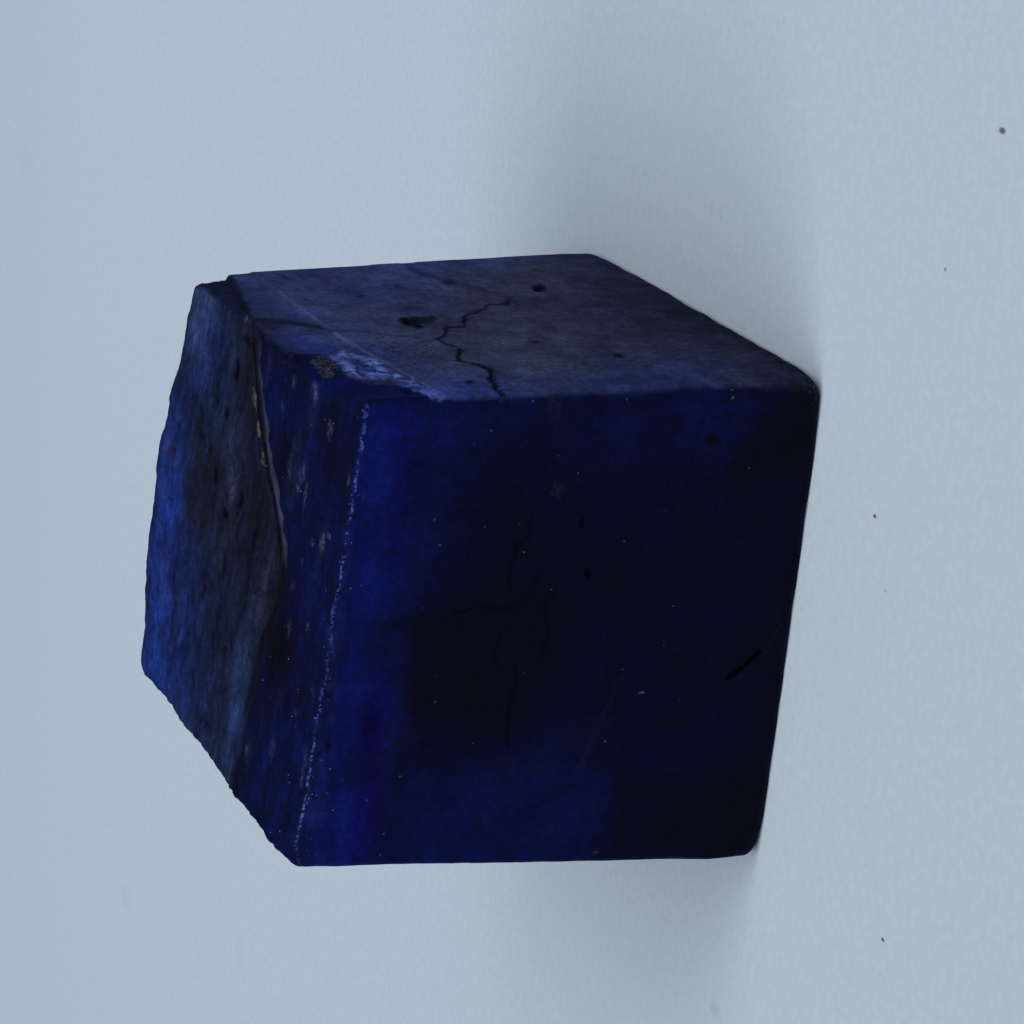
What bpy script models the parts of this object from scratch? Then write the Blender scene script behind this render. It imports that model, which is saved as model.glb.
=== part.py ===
"""Rough tanzanite: one small sawn block of the blue-violet stone, about 32 mm each way.

Five faces are sawn and lean in a little. The top was left as it split: a raised strip in front ends
in a curved ledge, and a lower, hollowed surface rises behind it to the back rim. Z is up, the stone
rests on its sawn base, -Y is its smooth face and +X its matt face with the crack and the pits.
Sizes and places below are in millimetres, and the model is made in metres.
"""
import math

import bmesh
import bpy
import numpy as np
from mathutils import Matrix, Vector, noise

MM = 0.001
NAME = "rough_tanzanite"
DEEP_BLUE = (0.012, 0.016, 0.060)

# The sawn sides: the way each faces (degrees from +X, seen from above), how far it leans in
# (degrees), and how far its foot is from the middle of the base.
FRONT = (-90.0, 3.9, 17.35)
RIGHT = (0.3, 2.4, 16.02)
BACK = (87.0, 2.9, 16.8)
LEFT = (178.4, 2.3, 15.65)

# The plane that the split top follows, before its relief.
TOP_HEIGHT = 30.62
TOP_FALL_TO_RIGHT = 0.0664
TOP_RISE_TO_BACK = 0.0202

# The ledge, from left to right: x, y, how high the front strip is over the plane along it, and how
# far the stone drops behind it.
LEDGE = np.array([
    (-15.5, -4.2, 0.20, 0.10),
    (-10.0, -5.0, 0.20, 0.35),
    (-6.0, -5.8, 0.15, 0.50),
    (-2.0, -7.4, 0.15, 0.65),
    (1.2, -8.2, 0.25, 0.75),
    (2.8, -8.0, 0.32, 0.85),
    (5.3, -6.4, 0.45, 1.05),
    (7.9, -3.8, 0.55, 1.05),
    (9.8, -2.6, 0.60, 0.95),
    (11.8, -0.9, 0.64, 0.85),
    (15.5, 1.3, 0.70, 0.42),
])
LEDGE_RUN = 0.8            # how far back the ledge's sloping lip goes
FRONT_RIM_Y, BACK_RIM_Y = -15.3, 15.6
BACK_RIM = np.array([      # x, how high the back rim is over the plane
    (-15.5, -0.10), (-11.0, 0.10), (-6.3, 0.70), (2.0, 1.10), (7.0, 0.80), (12.0, 0.28), (15.5, -0.10),
])
FRONT_RIM = np.array([     # x, how high the front rim is over the plane
    (-15.5, -0.45), (-13.0, 0.20), (-9.0, 0.10), (0.0, 0.0), (15.5, 0.0),
])
RISE_CURVE = 1.2           # how late the lower surface climbs to the back rim: 1 is even
LEFT_HUMP = (-15.0, -11.5, 0.35, 3.0)      # x, y, height and radius of the hump at the left rim
ROUGHNESS = 0.16           # how far the split surface wanders
GRAIN, GRAIN_OCTAVES = 0.32, 4             # wanders in a millimetre, and how many finer ones on them
FINER_STRENGTH, FINER_SIZE = 0.9, 2.1      # how each finer wander compares with the one before

# The right face: a saw step near its top, and the scar of a flake that broke off the near corner.
SAW_STEP = np.array([      # y, z
    (-17.0, 24.1), (-11.3, 24.9), (-7.7, 25.35), (-5.0, 25.75), (-1.0, 26.05), (17.0, 26.2),
])
SAW_STEP_DEPTH = 0.06
SAW_STEP_RUN = 0.3         # how tall the step's slope is
SAW_STEP_START, SAW_STEP_FADE = -15.4, 1.5   # y where it fades out at the near corner, and how soon
SAW_STEP_LEAN = 0.035
FLAKE_FOOT = np.array([    # y, z of the scar's lower edge
    (-15.6, 24.9), (-12.3, 27.0), (-8.8, 27.9), (-5.7, 28.9), (-4.7, 30.4), (17.0, 33.0),
])
FLAKE_SLOPE = 0.36
FLAKE_START, FLAKE_RUN = -15.3, 5.0        # y where it starts, and how soon it is fully there

# The piece broken off along the top of the right face at the back: y, z of the ends of its lower
# edge, and how deep it is there.
BREAK_FROM = (1.6, 30.3)
BREAK_TO = (14.0, 27.9)
BREAK_DEPTH = 0.5
BREAK_LEAN = 5.0           # degrees
BREAK_HALF_HEIGHT = 3.0
BREAK_HALF_THICKNESS = 2.0
BREAK_OVERRUN = 2.0        # how far the cutting block passes both ends

WORN_BASE = 0.55           # how wide the worn edges are
WORN_SIDES = 0.5
WORN_TOP = 0.45
WORN_CORNER = 1.6          # how many times wider that is at the corners of the base
CORNER_REACH = 2.2
WEAR_CHANGE = 0.5          # how much the width changes along an edge
WEAR_GRAIN, WEAR_OCTAVES = 0.35, 2

# Pits on the right face: y, z, half-length, half-width, depth, turn in degrees.
PITS = (
    (-0.1, 20.4, 0.95, 0.50, 0.45, 10.0),
    (0.9, 19.9, 1.05, 0.60, 0.55, -75.0),
    (6.8, 8.5, 1.20, 0.55, 0.65, -25.0),
    (-5.7, 14.3, 0.42, 0.32, 0.35, -20.0),
    (-9.7, 10.4, 0.50, 0.40, 0.40, -15.0),
    (-13.1, 21.9, 0.45, 0.26, 0.30, -20.0),
)
PIT_STAND_OFF = 0.3        # how far out of the face a ball's middle is, as a share of its depth
PIT_SEGMENTS, PIT_RINGS = 12, 8
# The crack that runs back from the near edge of the right face: y, z.
CRACK = ((-15.9, 20.85), (-14.7, 20.9), (-11.1, 19.6), (-8.7, 20.6), (-6.4, 19.7), (-3.9, 20.1),
         (-2.7, 19.15), (-1.5, 18.5), (-1.3, 17.5), (1.1, 16.2), (2.7, 14.2), (3.4, 12.7), (4.7, 11.6))
CRACK_WIDTH = 0.26
CRACK_DEPTH = 0.30
# The gouge low on the front face: x, z of its ends, width and depth.
GOUGE = ((-3.4, 3.9), (-1.7, 2.0))
GOUGE_WIDTH = 0.34
GOUGE_DEPTH = 0.30
GROOVE_TAPER = 0.7         # how much narrower a groove is at its far end
WELD = 0.001               # points of a groove nearer than this are one

# How the starting cube is divided, as distances in from each edge and then even steps.
NEAR_EDGE = (0.22, 0.55, 1.1)
HALF_WIDTH, HALF_DEPTH, HALF_HEIGHT = 16.0, 16.3, 15.3
STEPS_ACROSS = 21
LEDGE_ROW = -0.28          # the row of points that follows the ledge, from -1 in front to 1 behind
STEP_ROW = 0.66            # the row that follows the saw step, from -1 at the base to 1 on top
ROW_GAP = 0.03             # rows closer than this to either of those are left out
SKIN_PASSES = 8            # how many times each point is drawn nearer to the skin
NEAR_BASE = 0.02           # points of the base nearer to its plane than this are put on it
STONE_ROUGHNESS = 0.45


def face(turn, lean, foot):
    """Outward normal of a sawn side, and its distance from the middle of the base."""
    turn, lean = math.radians(turn), math.radians(lean)
    normal = Vector((math.cos(turn) * math.cos(lean), math.sin(turn) * math.cos(lean), math.sin(lean)))
    return normal, foot * math.cos(lean)


def meeting_point(*faces):
    """The corner where three faces meet."""
    (n1, d1), (n2, d2), (n3, d3) = faces
    volume = n1.dot(n2.cross(n3))
    return (n2.cross(n3) * d1 + n3.cross(n1) * d2 + n1.cross(n2) * d3) / volume


SIDES = {"front": face(*FRONT), "right": face(*RIGHT), "back": face(*BACK), "left": face(*LEFT)}
BASE = (Vector((0, 0, -1)), 0.0)
TOP_NORMAL = Vector((TOP_FALL_TO_RIGHT, -TOP_RISE_TO_BACK, 1.0))
TOP = (TOP_NORMAL.normalized(), TOP_HEIGHT / TOP_NORMAL.length)
BASE_CORNERS = [meeting_point(SIDES[one], SIDES[other], BASE)
                for one in ("front", "back") for other in ("left", "right")]


def smooth(t):
    t = np.clip(t, 0.0, 1.0)
    return t * t * (3.0 - 2.0 * t)


def along(table, at, column=1):
    """Read one column of a table of points at the given places."""
    return np.interp(at, table[:, 0], table[:, column])


def wander(x, y, z, size, octaves):
    """Even, repeatable unevenness between about -1 and 1."""
    return noise.fractal(Vector((x, y, z)) * size, FINER_STRENGTH, FINER_SIZE, octaves)


def top_relief(x, y):
    """How high the split top is over its plane."""
    ledge_y = along(LEDGE, x)
    strip = along(LEDGE, x, 2)
    floor = strip - along(LEDGE, x, 3)
    in_front = smooth((y - FRONT_RIM_Y) / (ledge_y - FRONT_RIM_Y))
    height = along(FRONT_RIM, x) * (1.0 - in_front) + strip * in_front
    over_lip = smooth((y - ledge_y) / LEDGE_RUN)
    behind = np.clip((y - ledge_y) / (BACK_RIM_Y - ledge_y), 0.0, 1.0) ** RISE_CURVE
    rising = floor * (1.0 - behind) + along(BACK_RIM, x) * behind
    height = height * (1.0 - over_lip) + rising * over_lip
    hump_x, hump_y, hump, reach = LEFT_HUMP
    height += hump * math.exp(-((x - hump_x) ** 2 + (y - hump_y) ** 2) / reach ** 2)
    return height + ROUGHNESS * wander(x, y, 0.0, GRAIN, GRAIN_OCTAVES)


def right_inset(y, z):
    """How far the right face is set back from its plane by the saw step and the flake scar."""
    over_step = z - along(SAW_STEP, y)
    inset = SAW_STEP_DEPTH * smooth(over_step / SAW_STEP_RUN) + SAW_STEP_LEAN * max(over_step, 0.0)
    inset *= smooth((y - SAW_STEP_START) / SAW_STEP_FADE)
    over_foot = max(z - along(FLAKE_FOOT, y), 0.0)
    near_corner = smooth((y - FLAKE_START) / FLAKE_RUN)
    return inset + FLAKE_SLOPE * over_foot * near_corner


def worn_join(a, b, width):
    """Join two (distance, normal) pairs at a worn edge of the given width."""
    (da, na), (db, nb) = a, b
    share = min(max(0.5 + 0.5 * (db - da) / width, 0.0), 1.0)
    distance = da * (1.0 - share) + db * share + width * share * (1.0 - share)
    return distance, na.lerp(nb, share).normalized()


def skin(point):
    """How far a point is outside the stone, and the way out from there."""
    away = {key: (normal.dot(point) - reach, normal) for key, (normal, reach) in SIDES.items()}
    right, outward = away["right"]
    away["right"] = (right + right_inset(point.y, point.z), outward)
    wear = 1.0 + WEAR_CHANGE * wander(point.x, point.y, point.z, WEAR_GRAIN, WEAR_OCTAVES)
    nearest = min((point - corner).length for corner in BASE_CORNERS)
    wear += WORN_CORNER * math.exp(-(nearest / CORNER_REACH) ** 2)
    result = away["front"]
    for key in ("right", "back", "left"):
        result = worn_join(result, away[key], WORN_SIDES * wear)
    top = TOP[0].dot(point) - TOP[1] - top_relief(point.x, point.y)
    result = worn_join(result, (top, TOP[0]), WORN_TOP * wear)
    return worn_join(result, (-point.z, BASE[0]), WORN_BASE * wear)


def stations(half, extra_row=None):
    """Where the cube is divided, from -1 to 1: close rows at the edges, even steps between."""
    edge = [1.0 - inset / half for inset in NEAR_EDGE]
    rows = [-value for value in edge] + edge
    rows += list(np.linspace(-edge[-1], edge[-1], STEPS_ACROSS + 1)[1:-1])
    if extra_row is not None:
        extra = (extra_row, extra_row + LEDGE_RUN / half)
        rows = [row for row in rows if min(abs(row - each) for each in extra) > ROW_GAP]
        rows += extra
    return sorted(rows)


def shift_row(value, row, target):
    """Move one row to its target and spread the rows on each side of it evenly."""
    if value < row:
        return -1.0 + (value + 1.0) * (target + 1.0) / (row + 1.0)
    return 1.0 - (1.0 - value) * (1.0 - target) / (1.0 - row)


def block_point(u, v, w):
    """Place of a cube point (each coordinate -1 to 1) on the flat-faced block."""
    corners = {}
    for x, side in ((-1, "left"), (1, "right")):
        for y, end in ((-1, "front"), (1, "back")):
            for z, level in ((-1, BASE), (1, TOP)):
                corners[x, y, z] = meeting_point(SIDES[side], SIDES[end], level)
    place = Vector((0, 0, 0))
    for (x, y, z), corner in corners.items():
        place += corner * ((1 + x * u) * (1 + y * v) * (1 + z * w) / 8.0)
    return place


def build_block():
    """A cube, divided, laid out on the block's faces and then drawn onto the stone's skin."""
    mesh = bmesh.new()
    bmesh.ops.create_cube(mesh, size=2.0)
    divisions = (stations(HALF_WIDTH), stations(HALF_DEPTH, LEDGE_ROW), stations(HALF_HEIGHT, STEP_ROW))
    for axis, rows in enumerate(divisions):
        for row in rows:
            normal = [0.0, 0.0, 0.0]
            normal[axis] = 1.0
            bmesh.ops.bisect_plane(mesh, geom=mesh.verts[:] + mesh.edges[:] + mesh.faces[:],
                                   plane_co=[row * value for value in normal], plane_no=normal)
    for vert in mesh.verts:
        u, v, w = vert.co
        front, back = block_point(u, -1, 1), block_point(u, 1, 1)
        ledge = 2.0 * (along(LEDGE, front.x) - front.y) / (back.y - front.y) - 1.0
        v = shift_row(v, LEDGE_ROW, ledge)
        step_height = along(SAW_STEP, block_point(1, v, 0).y)
        w = shift_row(w, STEP_ROW, 2.0 * step_height / block_point(1, v, 1).z - 1.0)
        point = block_point(u, v, w)
        for _ in range(SKIN_PASSES):
            distance, outward = skin(point)
            point -= outward * distance
        if w == -1.0 and point.z < NEAR_BASE:
            point.z = 0.0
        vert.co = point * MM
    data = bpy.data.meshes.new(NAME)
    mesh.to_mesh(data)
    mesh.free()
    return bpy.data.objects.new(NAME, data)


def add_face_empty(name, turn, lean, foot):
    """An empty at the foot of a sawn side: its X runs along the face, its Y up it and its Z out of it."""
    outward, _ = face(turn, lean, foot)
    along_face = Vector((-math.sin(math.radians(turn)), math.cos(math.radians(turn)), 0.0))
    up_face = outward.cross(along_face)
    empty = bpy.data.objects.new(name, None)
    empty.location = Vector((math.cos(math.radians(turn)), math.sin(math.radians(turn)), 0.0)) * foot * MM
    empty.rotation_euler = Matrix((along_face, up_face, outward)).transposed().to_euler()
    cutters.objects.link(empty)
    return empty


def cut(stone, cutter, side):
    """Take a cutting shape, placed on a side, out of the stone."""
    cutter.parent = side
    cutter.display_type = "WIRE"
    cutter.hide_render = True
    cutters.objects.link(cutter)
    modifier = stone.modifiers.new(cutter.name, "BOOLEAN")
    modifier.operation = "DIFFERENCE"
    modifier.solver = "EXACT"
    modifier.object = cutter


def new_object(name, mesh):
    """An object made of a finished bmesh."""
    data = bpy.data.meshes.new(name)
    mesh.to_mesh(data)
    mesh.free()
    return bpy.data.objects.new(name, data)


def cut_pits(stone, side):
    """Squashed balls sunk in the face."""
    for number, (place, height, length, width, depth, turn) in enumerate(PITS, start=1):
        mesh = bmesh.new()
        bmesh.ops.create_uvsphere(mesh, u_segments=PIT_SEGMENTS, v_segments=PIT_RINGS, radius=MM)
        ball = new_object(f"pit_{number}", mesh)
        ball.location = (place * MM, height * MM, PIT_STAND_OFF * depth * MM)
        ball.rotation_euler.z = math.radians(turn)
        ball.scale = (length, width, depth)
        cut(stone, ball, side)


def cut_break(stone, side):
    """The long chip off the top of the face, from the ledge's end to the back corner."""
    start, end = Vector(BREAK_FROM), Vector(BREAK_TO)
    run = end - start
    across = Vector((-run.y, run.x)).normalized()
    middle = (start + end) / 2.0 + across * BREAK_HALF_HEIGHT
    lean = math.radians(BREAK_LEAN)
    out = BREAK_HALF_THICKNESS - BREAK_DEPTH - BREAK_HALF_HEIGHT * math.tan(lean)
    mesh = bmesh.new()
    bmesh.ops.create_cube(mesh, size=2.0 * MM)
    block = new_object("break", mesh)
    block.location = (middle.x * MM, middle.y * MM, out * MM)
    block.rotation_euler = (-lean, 0.0, math.atan2(run.y, run.x))
    block.scale = (run.length / 2.0 + BREAK_OVERRUN, BREAK_HALF_HEIGHT, BREAK_HALF_THICKNESS)
    cut(stone, block, side)


def groove_outline(points, width):
    """A closed outline around a zigzag line, widest at its start and nearly pointed at its end."""
    last = len(points) - 1
    upper, lower = [], []
    for index, point in enumerate(points):
        before = Vector(points[max(index - 1, 0)])
        after = Vector(points[min(index + 1, last)])
        way = (after - before).normalized()
        half = Vector((-way.y, way.x)) * 0.5 * width * (1.0 - GROOVE_TAPER * index / last)
        upper.append(Vector(point) + half)
        lower.append(Vector(point) - half)
    return upper + lower[::-1]


def cut_groove(stone, side, name, points, width, depth):
    """A narrow groove along points on the face."""
    curve = bpy.data.curves.new(name, "CURVE")
    curve.dimensions = "2D"
    curve.fill_mode = "BOTH"
    curve.extrude = depth * MM
    outline = groove_outline(points, width)
    spline = curve.splines.new("POLY")
    spline.points.add(len(outline) - 1)
    for spot, corner in zip(spline.points, outline):
        spot.co = (corner.x * MM, corner.y * MM, 0.0, 1.0)
    spline.use_cyclic_u = True
    source = bpy.data.objects.new(name + "_curve", curve)
    cutters.objects.link(source)
    evaluated = source.evaluated_get(bpy.context.evaluated_depsgraph_get())
    mesh = bmesh.new()
    mesh.from_mesh(bpy.data.meshes.new_from_object(evaluated))
    bpy.data.objects.remove(source)
    bmesh.ops.remove_doubles(mesh, verts=mesh.verts, dist=WELD * MM)
    cut(stone, new_object(name, mesh), side)


def stone_material():
    material = bpy.data.materials.new(NAME)
    material.use_nodes = True
    surface = material.node_tree.nodes["Principled BSDF"]
    surface.inputs["Base Color"].default_value = (*DEEP_BLUE, 1.0)
    surface.inputs["Roughness"].default_value = STONE_ROUGHNESS
    surface.inputs["Metallic"].default_value = 0.0
    material.diffuse_color = (*DEEP_BLUE, 1.0)
    return material


for existing in list(bpy.data.objects):
    bpy.data.objects.remove(existing)
parts = bpy.data.collections.new(NAME)
cutters = bpy.data.collections.new("cutters")
bpy.context.scene.collection.children.link(parts)
bpy.context.scene.collection.children.link(cutters)

stone = build_block()
stone.data.materials.append(stone_material())
parts.objects.link(stone)
right_side = add_face_empty("right_side", *RIGHT)
front_side = add_face_empty("front_side", *FRONT)
cut_break(stone, right_side)
cut_pits(stone, right_side)
cut_groove(stone, right_side, "crack", CRACK, CRACK_WIDTH, CRACK_DEPTH)
cut_groove(stone, front_side, "gouge", GOUGE, GOUGE_WIDTH, GOUGE_DEPTH)
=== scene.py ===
"""A small block of rough tanzanite resting on pale paper."""
import math

import bmesh
import bpy
import numpy as np
from mathutils import Matrix, Vector, noise


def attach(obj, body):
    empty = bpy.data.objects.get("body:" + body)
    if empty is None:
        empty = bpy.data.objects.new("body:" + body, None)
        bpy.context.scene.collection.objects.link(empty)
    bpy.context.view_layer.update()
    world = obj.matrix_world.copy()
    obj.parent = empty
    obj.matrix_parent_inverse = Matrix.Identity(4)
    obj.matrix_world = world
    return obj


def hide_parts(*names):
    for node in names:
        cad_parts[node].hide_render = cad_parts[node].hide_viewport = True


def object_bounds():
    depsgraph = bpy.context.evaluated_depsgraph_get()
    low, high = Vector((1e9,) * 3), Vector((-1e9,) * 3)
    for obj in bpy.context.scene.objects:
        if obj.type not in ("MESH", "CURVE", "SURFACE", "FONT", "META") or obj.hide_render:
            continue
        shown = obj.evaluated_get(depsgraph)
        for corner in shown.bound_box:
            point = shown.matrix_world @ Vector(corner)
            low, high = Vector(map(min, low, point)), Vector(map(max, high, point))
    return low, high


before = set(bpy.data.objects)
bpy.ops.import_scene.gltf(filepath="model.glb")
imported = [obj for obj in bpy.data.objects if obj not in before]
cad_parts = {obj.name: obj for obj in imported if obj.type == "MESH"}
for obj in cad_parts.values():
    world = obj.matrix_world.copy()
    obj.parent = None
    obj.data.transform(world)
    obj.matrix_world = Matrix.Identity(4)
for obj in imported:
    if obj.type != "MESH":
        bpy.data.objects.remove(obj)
cad_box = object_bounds()

# ----------------------------------------------------------------------
# The block. Five faces were sawn from the crystal with a thin blade and lean in a little. The
# sixth, on top, is where the crystal split along its grain. Lengths are in millimetres.
MM = 0.001


def face(turn, lean, foot):
    """A sawn side: the way it faces in degrees from +X, how far it leans in, where its foot is."""
    turn, lean = math.radians(turn), math.radians(lean)
    outward = (math.cos(turn) * math.cos(lean), math.sin(turn) * math.cos(lean), math.sin(lean))
    return np.array(outward), foot * math.cos(lean)


front, right = face(-90, 3.9, 17.35), face(0.3, 2.4, 16.02)
back, left = face(87, 2.9, 16.8), face(178.4, 2.3, 15.65)
base = (np.array((0, 0, -1)), 0)
top_height, top_fall_right, top_rise_back = 30.62, 0.0664, 0.0202
top_way = np.array((top_fall_right, -top_rise_back, 1))
top = (top_way / np.linalg.norm(top_way), top_height / np.linalg.norm(top_way))
FRONT, RIGHT, BACK, LEFT, TOP, BASE = range(6)


def meeting_point(*faces):
    return np.linalg.solve([outward for outward, _ in faces], [reach for _, reach in faces])


base_corners = [meeting_point(one, other, base) for one in (front, back) for other in (left, right)]


def smooth(t):
    t = np.clip(t, 0, 1)
    return t * t * (3 - 2 * t)


def read_table(table, at, column=1):
    """One column of a table of given points, read between its rows with the corners eased."""
    table = np.asarray(table)
    eased = (-0.9, -0.45, 0, 0.45, 0.9)
    return sum(np.interp(at + shift, table[:, 0], table[:, column]) for shift in eased) / len(eased)


def read_plain(table, at):
    """A table of given points, read straight between its rows."""
    return np.interp(at, *np.transpose(table))


def wander(points, size, octaves, stretch=(1, 1, 1), shift=0):
    """Even unevenness between about -1 and 1 that repeats on every run."""
    scaled = points * np.array(stretch) * size + shift
    return np.array([noise.fractal(Vector(point), 0.9, 2.1, octaves) for point in scaled])


def stepped(value):
    """Turn a smooth wander into short treads and risers, as a cleavage does."""
    whole = np.floor(value)
    return whole + smooth((value - whole) / 0.35)


def line_side(u, v, line):
    """Distance to a broken line, negative on its right, and how far along it the nearest point is."""
    side, where = np.full(u.shape, 1e9), np.zeros(u.shape)
    for index, ((u1, v1), (u2, v2)) in enumerate(zip(line, line[1:])):
        along = (u - u1) * (u2 - u1) + (v - v1) * (v2 - v1)
        share = np.clip(along / ((u2 - u1) ** 2 + (v2 - v1) ** 2), 0, 1)
        away = np.hypot(u - u1 - share * (u2 - u1), v - v1 - share * (v2 - v1))
        across = (u2 - u1) * (v - v1) - (v2 - v1) * (u - u1)
        closer = away < np.abs(side)
        side = np.where(closer, np.where(across < 0, -away, away), side)
        where = np.where(closer, (index + share) / (len(line) - 1), where)
    return side, where


def line_distance(u, v, line):
    return np.abs(line_side(u, v, line)[0])


def oval(u, v, mark):
    """1 in the middle of an oval mark, 0 at its rim and below 0 outside.

    A mark is its place (two numbers), half-length, half-width, strength and turn in degrees.
    """
    at_u, at_v, length, width = mark[:4]
    turn = math.radians(mark[5]) if len(mark) > 5 else 0
    along = (u - at_u) * math.cos(turn) + (v - at_v) * math.sin(turn)
    across = (v - at_v) * math.cos(turn) - (u - at_u) * math.sin(turn)
    return 1 - (along / length) ** 2 - (across / width) ** 2


# ----------------------------------------------------------------------
# The split top. A raised strip in front ends in a curved ledge with a pale bevelled lip; behind it
# the stone drops to a lower, hollowed floor and climbs again to the back rim.
ledge = (        # x, y, the strip's height over the plane, the drop behind it, the lip's width
    (-15.5, -4.2, 0.2, 0.1, 0), (-10, -5, 0.2, 0.35, 0), (-6, -5.8, 0.15, 0.5, 0),
    (-2, -7.4, 0.15, 0.65, 0), (1.2, -8.2, 0.25, 0.75, 0), (2.8, -8, 0.32, 0.85, 0.5),
    (5.3, -6.4, 0.45, 1.05, 0.64), (7.9, -3.8, 0.55, 1.05, 0.66), (9.8, -2.6, 0.6, 0.95, 0.6),
    (11.8, -0.9, 0.64, 0.85, 0.45), (15.5, 1.3, 0.7, 0.42, 0.12),
)
back_rim = (     # x, height over the plane
    (-15.5, -0.1), (-11, 0.1), (-6.3, 0.7), (2, 1.1), (7, 0.8), (12, 0.28), (15.5, -0.1),
)
front_rim = ((-15.5, -0.45), (-13, 0.2), (-9, 0.1), (0, 0), (15.5, 0))
front_y, back_y = -15.3, 15.6
calm_left, calm_back, calm_run = -15.3, 15.3, 1.5     # the grain of the split fades by the outer rims
hump_x, hump_y, hump_height, hump_reach = -15, -11.5, 0.35, 3
lip_fall, wall_run, soft_wall_run = 0.04, 0.28, 2.6
hollows = (      # x, y, half-length, half-width, depth and turn of the hollows in the lower floor
    (3.4, 1.4, 1.3, 0.8, 0.3, -20), (3.1, 6.5, 0.9, 0.6, 0.2), (1.3, 3.5, 0.7, 0.6, 0.18),
    (-3, 8.6, 0.9, 0.6, 0.16), (7.6, 5.9, 0.8, 0.6, 0.22), (10.5, 5.6, 1.1, 0.6, 0.24, 20),
    (9.3, 11.2, 0.7, 0.5, 0.18), (-12.6, 2.6, 1.2, 2, 0.28), (5.8, 9.8, 0.8, 0.6, 0.16),
    (-6.8, 0.5, 0.5, 0.5, 0.16), (-0.9, 2.9, 0.8, 0.5, 0.16), (4.6, 8, 0.6, 0.4, 0.14),
    (-5.4, -5.9, 0.5, 0.35, 0.14), (2.4, 4.6, 0.6, 0.5, 0.14), (12.4, 8.6, 0.9, 0.5, 0.14, 30),
)


def behind_ledge(x, y):
    """Distance behind the ledge's line, negative on the strip in front of it."""
    step = 0.1
    slope = (read_table(ledge, x + step) - read_table(ledge, x - step)) / (2 * step)
    return (y - read_table(ledge, x)) / np.sqrt(1 + slope ** 2)


def past_ledge(points):
    """The same for whole points, with the small raggedness of the ledge's edge."""
    return behind_ledge(points[:, 0], points[:, 1]) + 0.1 * wander(points * (1, 1, 0), 1.1, 3, shift=7)


def top_relief(points):
    """Height of the split top over its plane."""
    x, y = points[:, 0], points[:, 1]
    flat = points * (1, 1, 0)
    strip, drop, lip = (read_table(ledge, x, column) for column in (2, 3, 4))
    past = past_ledge(points)
    ledge_y = read_table(ledge, x)
    in_front = smooth((y - front_y) / (ledge_y - front_y))
    height = read_table(front_rim, x) * (1 - in_front) + strip * in_front
    behind = np.clip((y - ledge_y) / (back_y - ledge_y), 0, 1) ** 1.2
    lower = (strip - drop) * (1 - behind) + read_table(back_rim, x) * behind
    lip_share = smooth(lip / 0.3)
    fall = smooth((past - lip) / (wall_run + soft_wall_run * smooth((1 - x) / 5)))
    height = height - lip_share * lip_fall * np.clip(past, 0, lip)
    height = height * (1 - fall) + lower * fall
    height += hump_height * np.exp(-((x - hump_x) ** 2 + (y - hump_y) ** 2) / hump_reach ** 2)
    for hollow in hollows:
        height -= fall * hollow[4] * np.exp(-(1 - oval(x, y, hollow)))
    on_strip = 1 - smooth(past / 0.15 + 0.5) * lip_share
    on_strip = np.minimum(on_strip, 1 - fall)
    fibres = wander(flat, 0.9, 4, stretch=(0.28, 1.6, 1), shift=3)
    lumps = wander(flat, 0.8, 4, stretch=(0.7, 1, 1), shift=11)
    height += 0.15 * wander(flat, 0.32, 3) * np.maximum(on_strip, fall)
    calm = 0.25 + 0.75 * smooth((x - calm_left) / calm_run)
    height += on_strip * (0.05 * fibres + 0.03 * stepped(3.5 * fibres)) * calm
    calm = 0.3 + 0.7 * smooth(np.minimum(x - calm_left, calm_back - y) / calm_run)
    height += fall * (0.1 * lumps + 0.025 * stepped(3 * lumps)) * calm
    return height


# ----------------------------------------------------------------------
# The matt right face. It has a shallow saw step near its top, the scar of a flake off the near
# corner, a long chip along the back of its top edge, a zigzag crack and a few pits. All are given
# by y and z.
saw_step = ((-17, 24.1), (-11.3, 24.9), (-7.7, 25.35), (-5, 25.75), (-1, 26.05), (17, 26.2))
step_depth, step_lean = 0.06, 0.035
flake_foot = ((-15.6, 24.9), (-12.3, 27), (-8.8, 27.9), (-5.7, 28.9), (-4.7, 30.4), (17, 33))
flake_slope, flake_start, flake_run = 0.36, -15.3, 5
scar = ((-14.6, 24.9), (-10.6, 26.4), (-7.6, 27.3), (-5.8, 27.9))
scar_width = 1.25
break_line = ((1.6, 30.3), (14, 27.9))
break_depth, break_lean = 0.45, 0.09
pits = (         # place, half-length, half-width, depth, turn in degrees
    (-0.1, 20.4, 0.95, 0.5, 0.45, 10), (0.9, 19.9, 1.05, 0.6, 0.55, -75), (6.8, 8.5, 1.2, 0.55, 0.55, -25),
    (-5.7, 14.3, 0.42, 0.32, 0.3, -20), (-9.7, 10.4, 0.5, 0.4, 0.35, -15),
    (-13.2, 21.9, 0.52, 0.28, 0.28, -28), (-3.1, 21.4, 0.26, 0.16, 0.16, -20),
    (9.4, 14, 0.55, 0.28, 0.12, -20), (-12.2, 9.4, 0.26, 0.16, 0.12, -20), (-2, 14.9, 0.24, 0.14, 0.08, 10),
)
crack = (
    (-15.9, 20.85), (-14.7, 20.9), (-13.1, 20.4), (-12, 20.05), (-11.1, 19.6), (-10.4, 19.7), (-9.5, 20.1),
    (-8.7, 20.7), (-7.9, 20.5), (-7, 20.05), (-6.35, 19.7), (-5.2, 20), (-3.9, 20.1), (-2.7, 19.15),
    (-1.4, 18.6), (-1.5, 17.5), (-0.3, 16.8), (1.1, 16.3), (1.6, 15.2), (2.7, 14.2), (3.4, 13.6),
    (3.3, 12.5), (4, 11.9), (4.7, 11.6))
fissure = (
    (2.6, 29.8), (2.2, 28.6), (1.2, 27.4), (0, 26.3), (-0.6, 26.1), (-0.9, 24.6), (-2.4, 22.6),
    (-3.1, 21.4))
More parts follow.
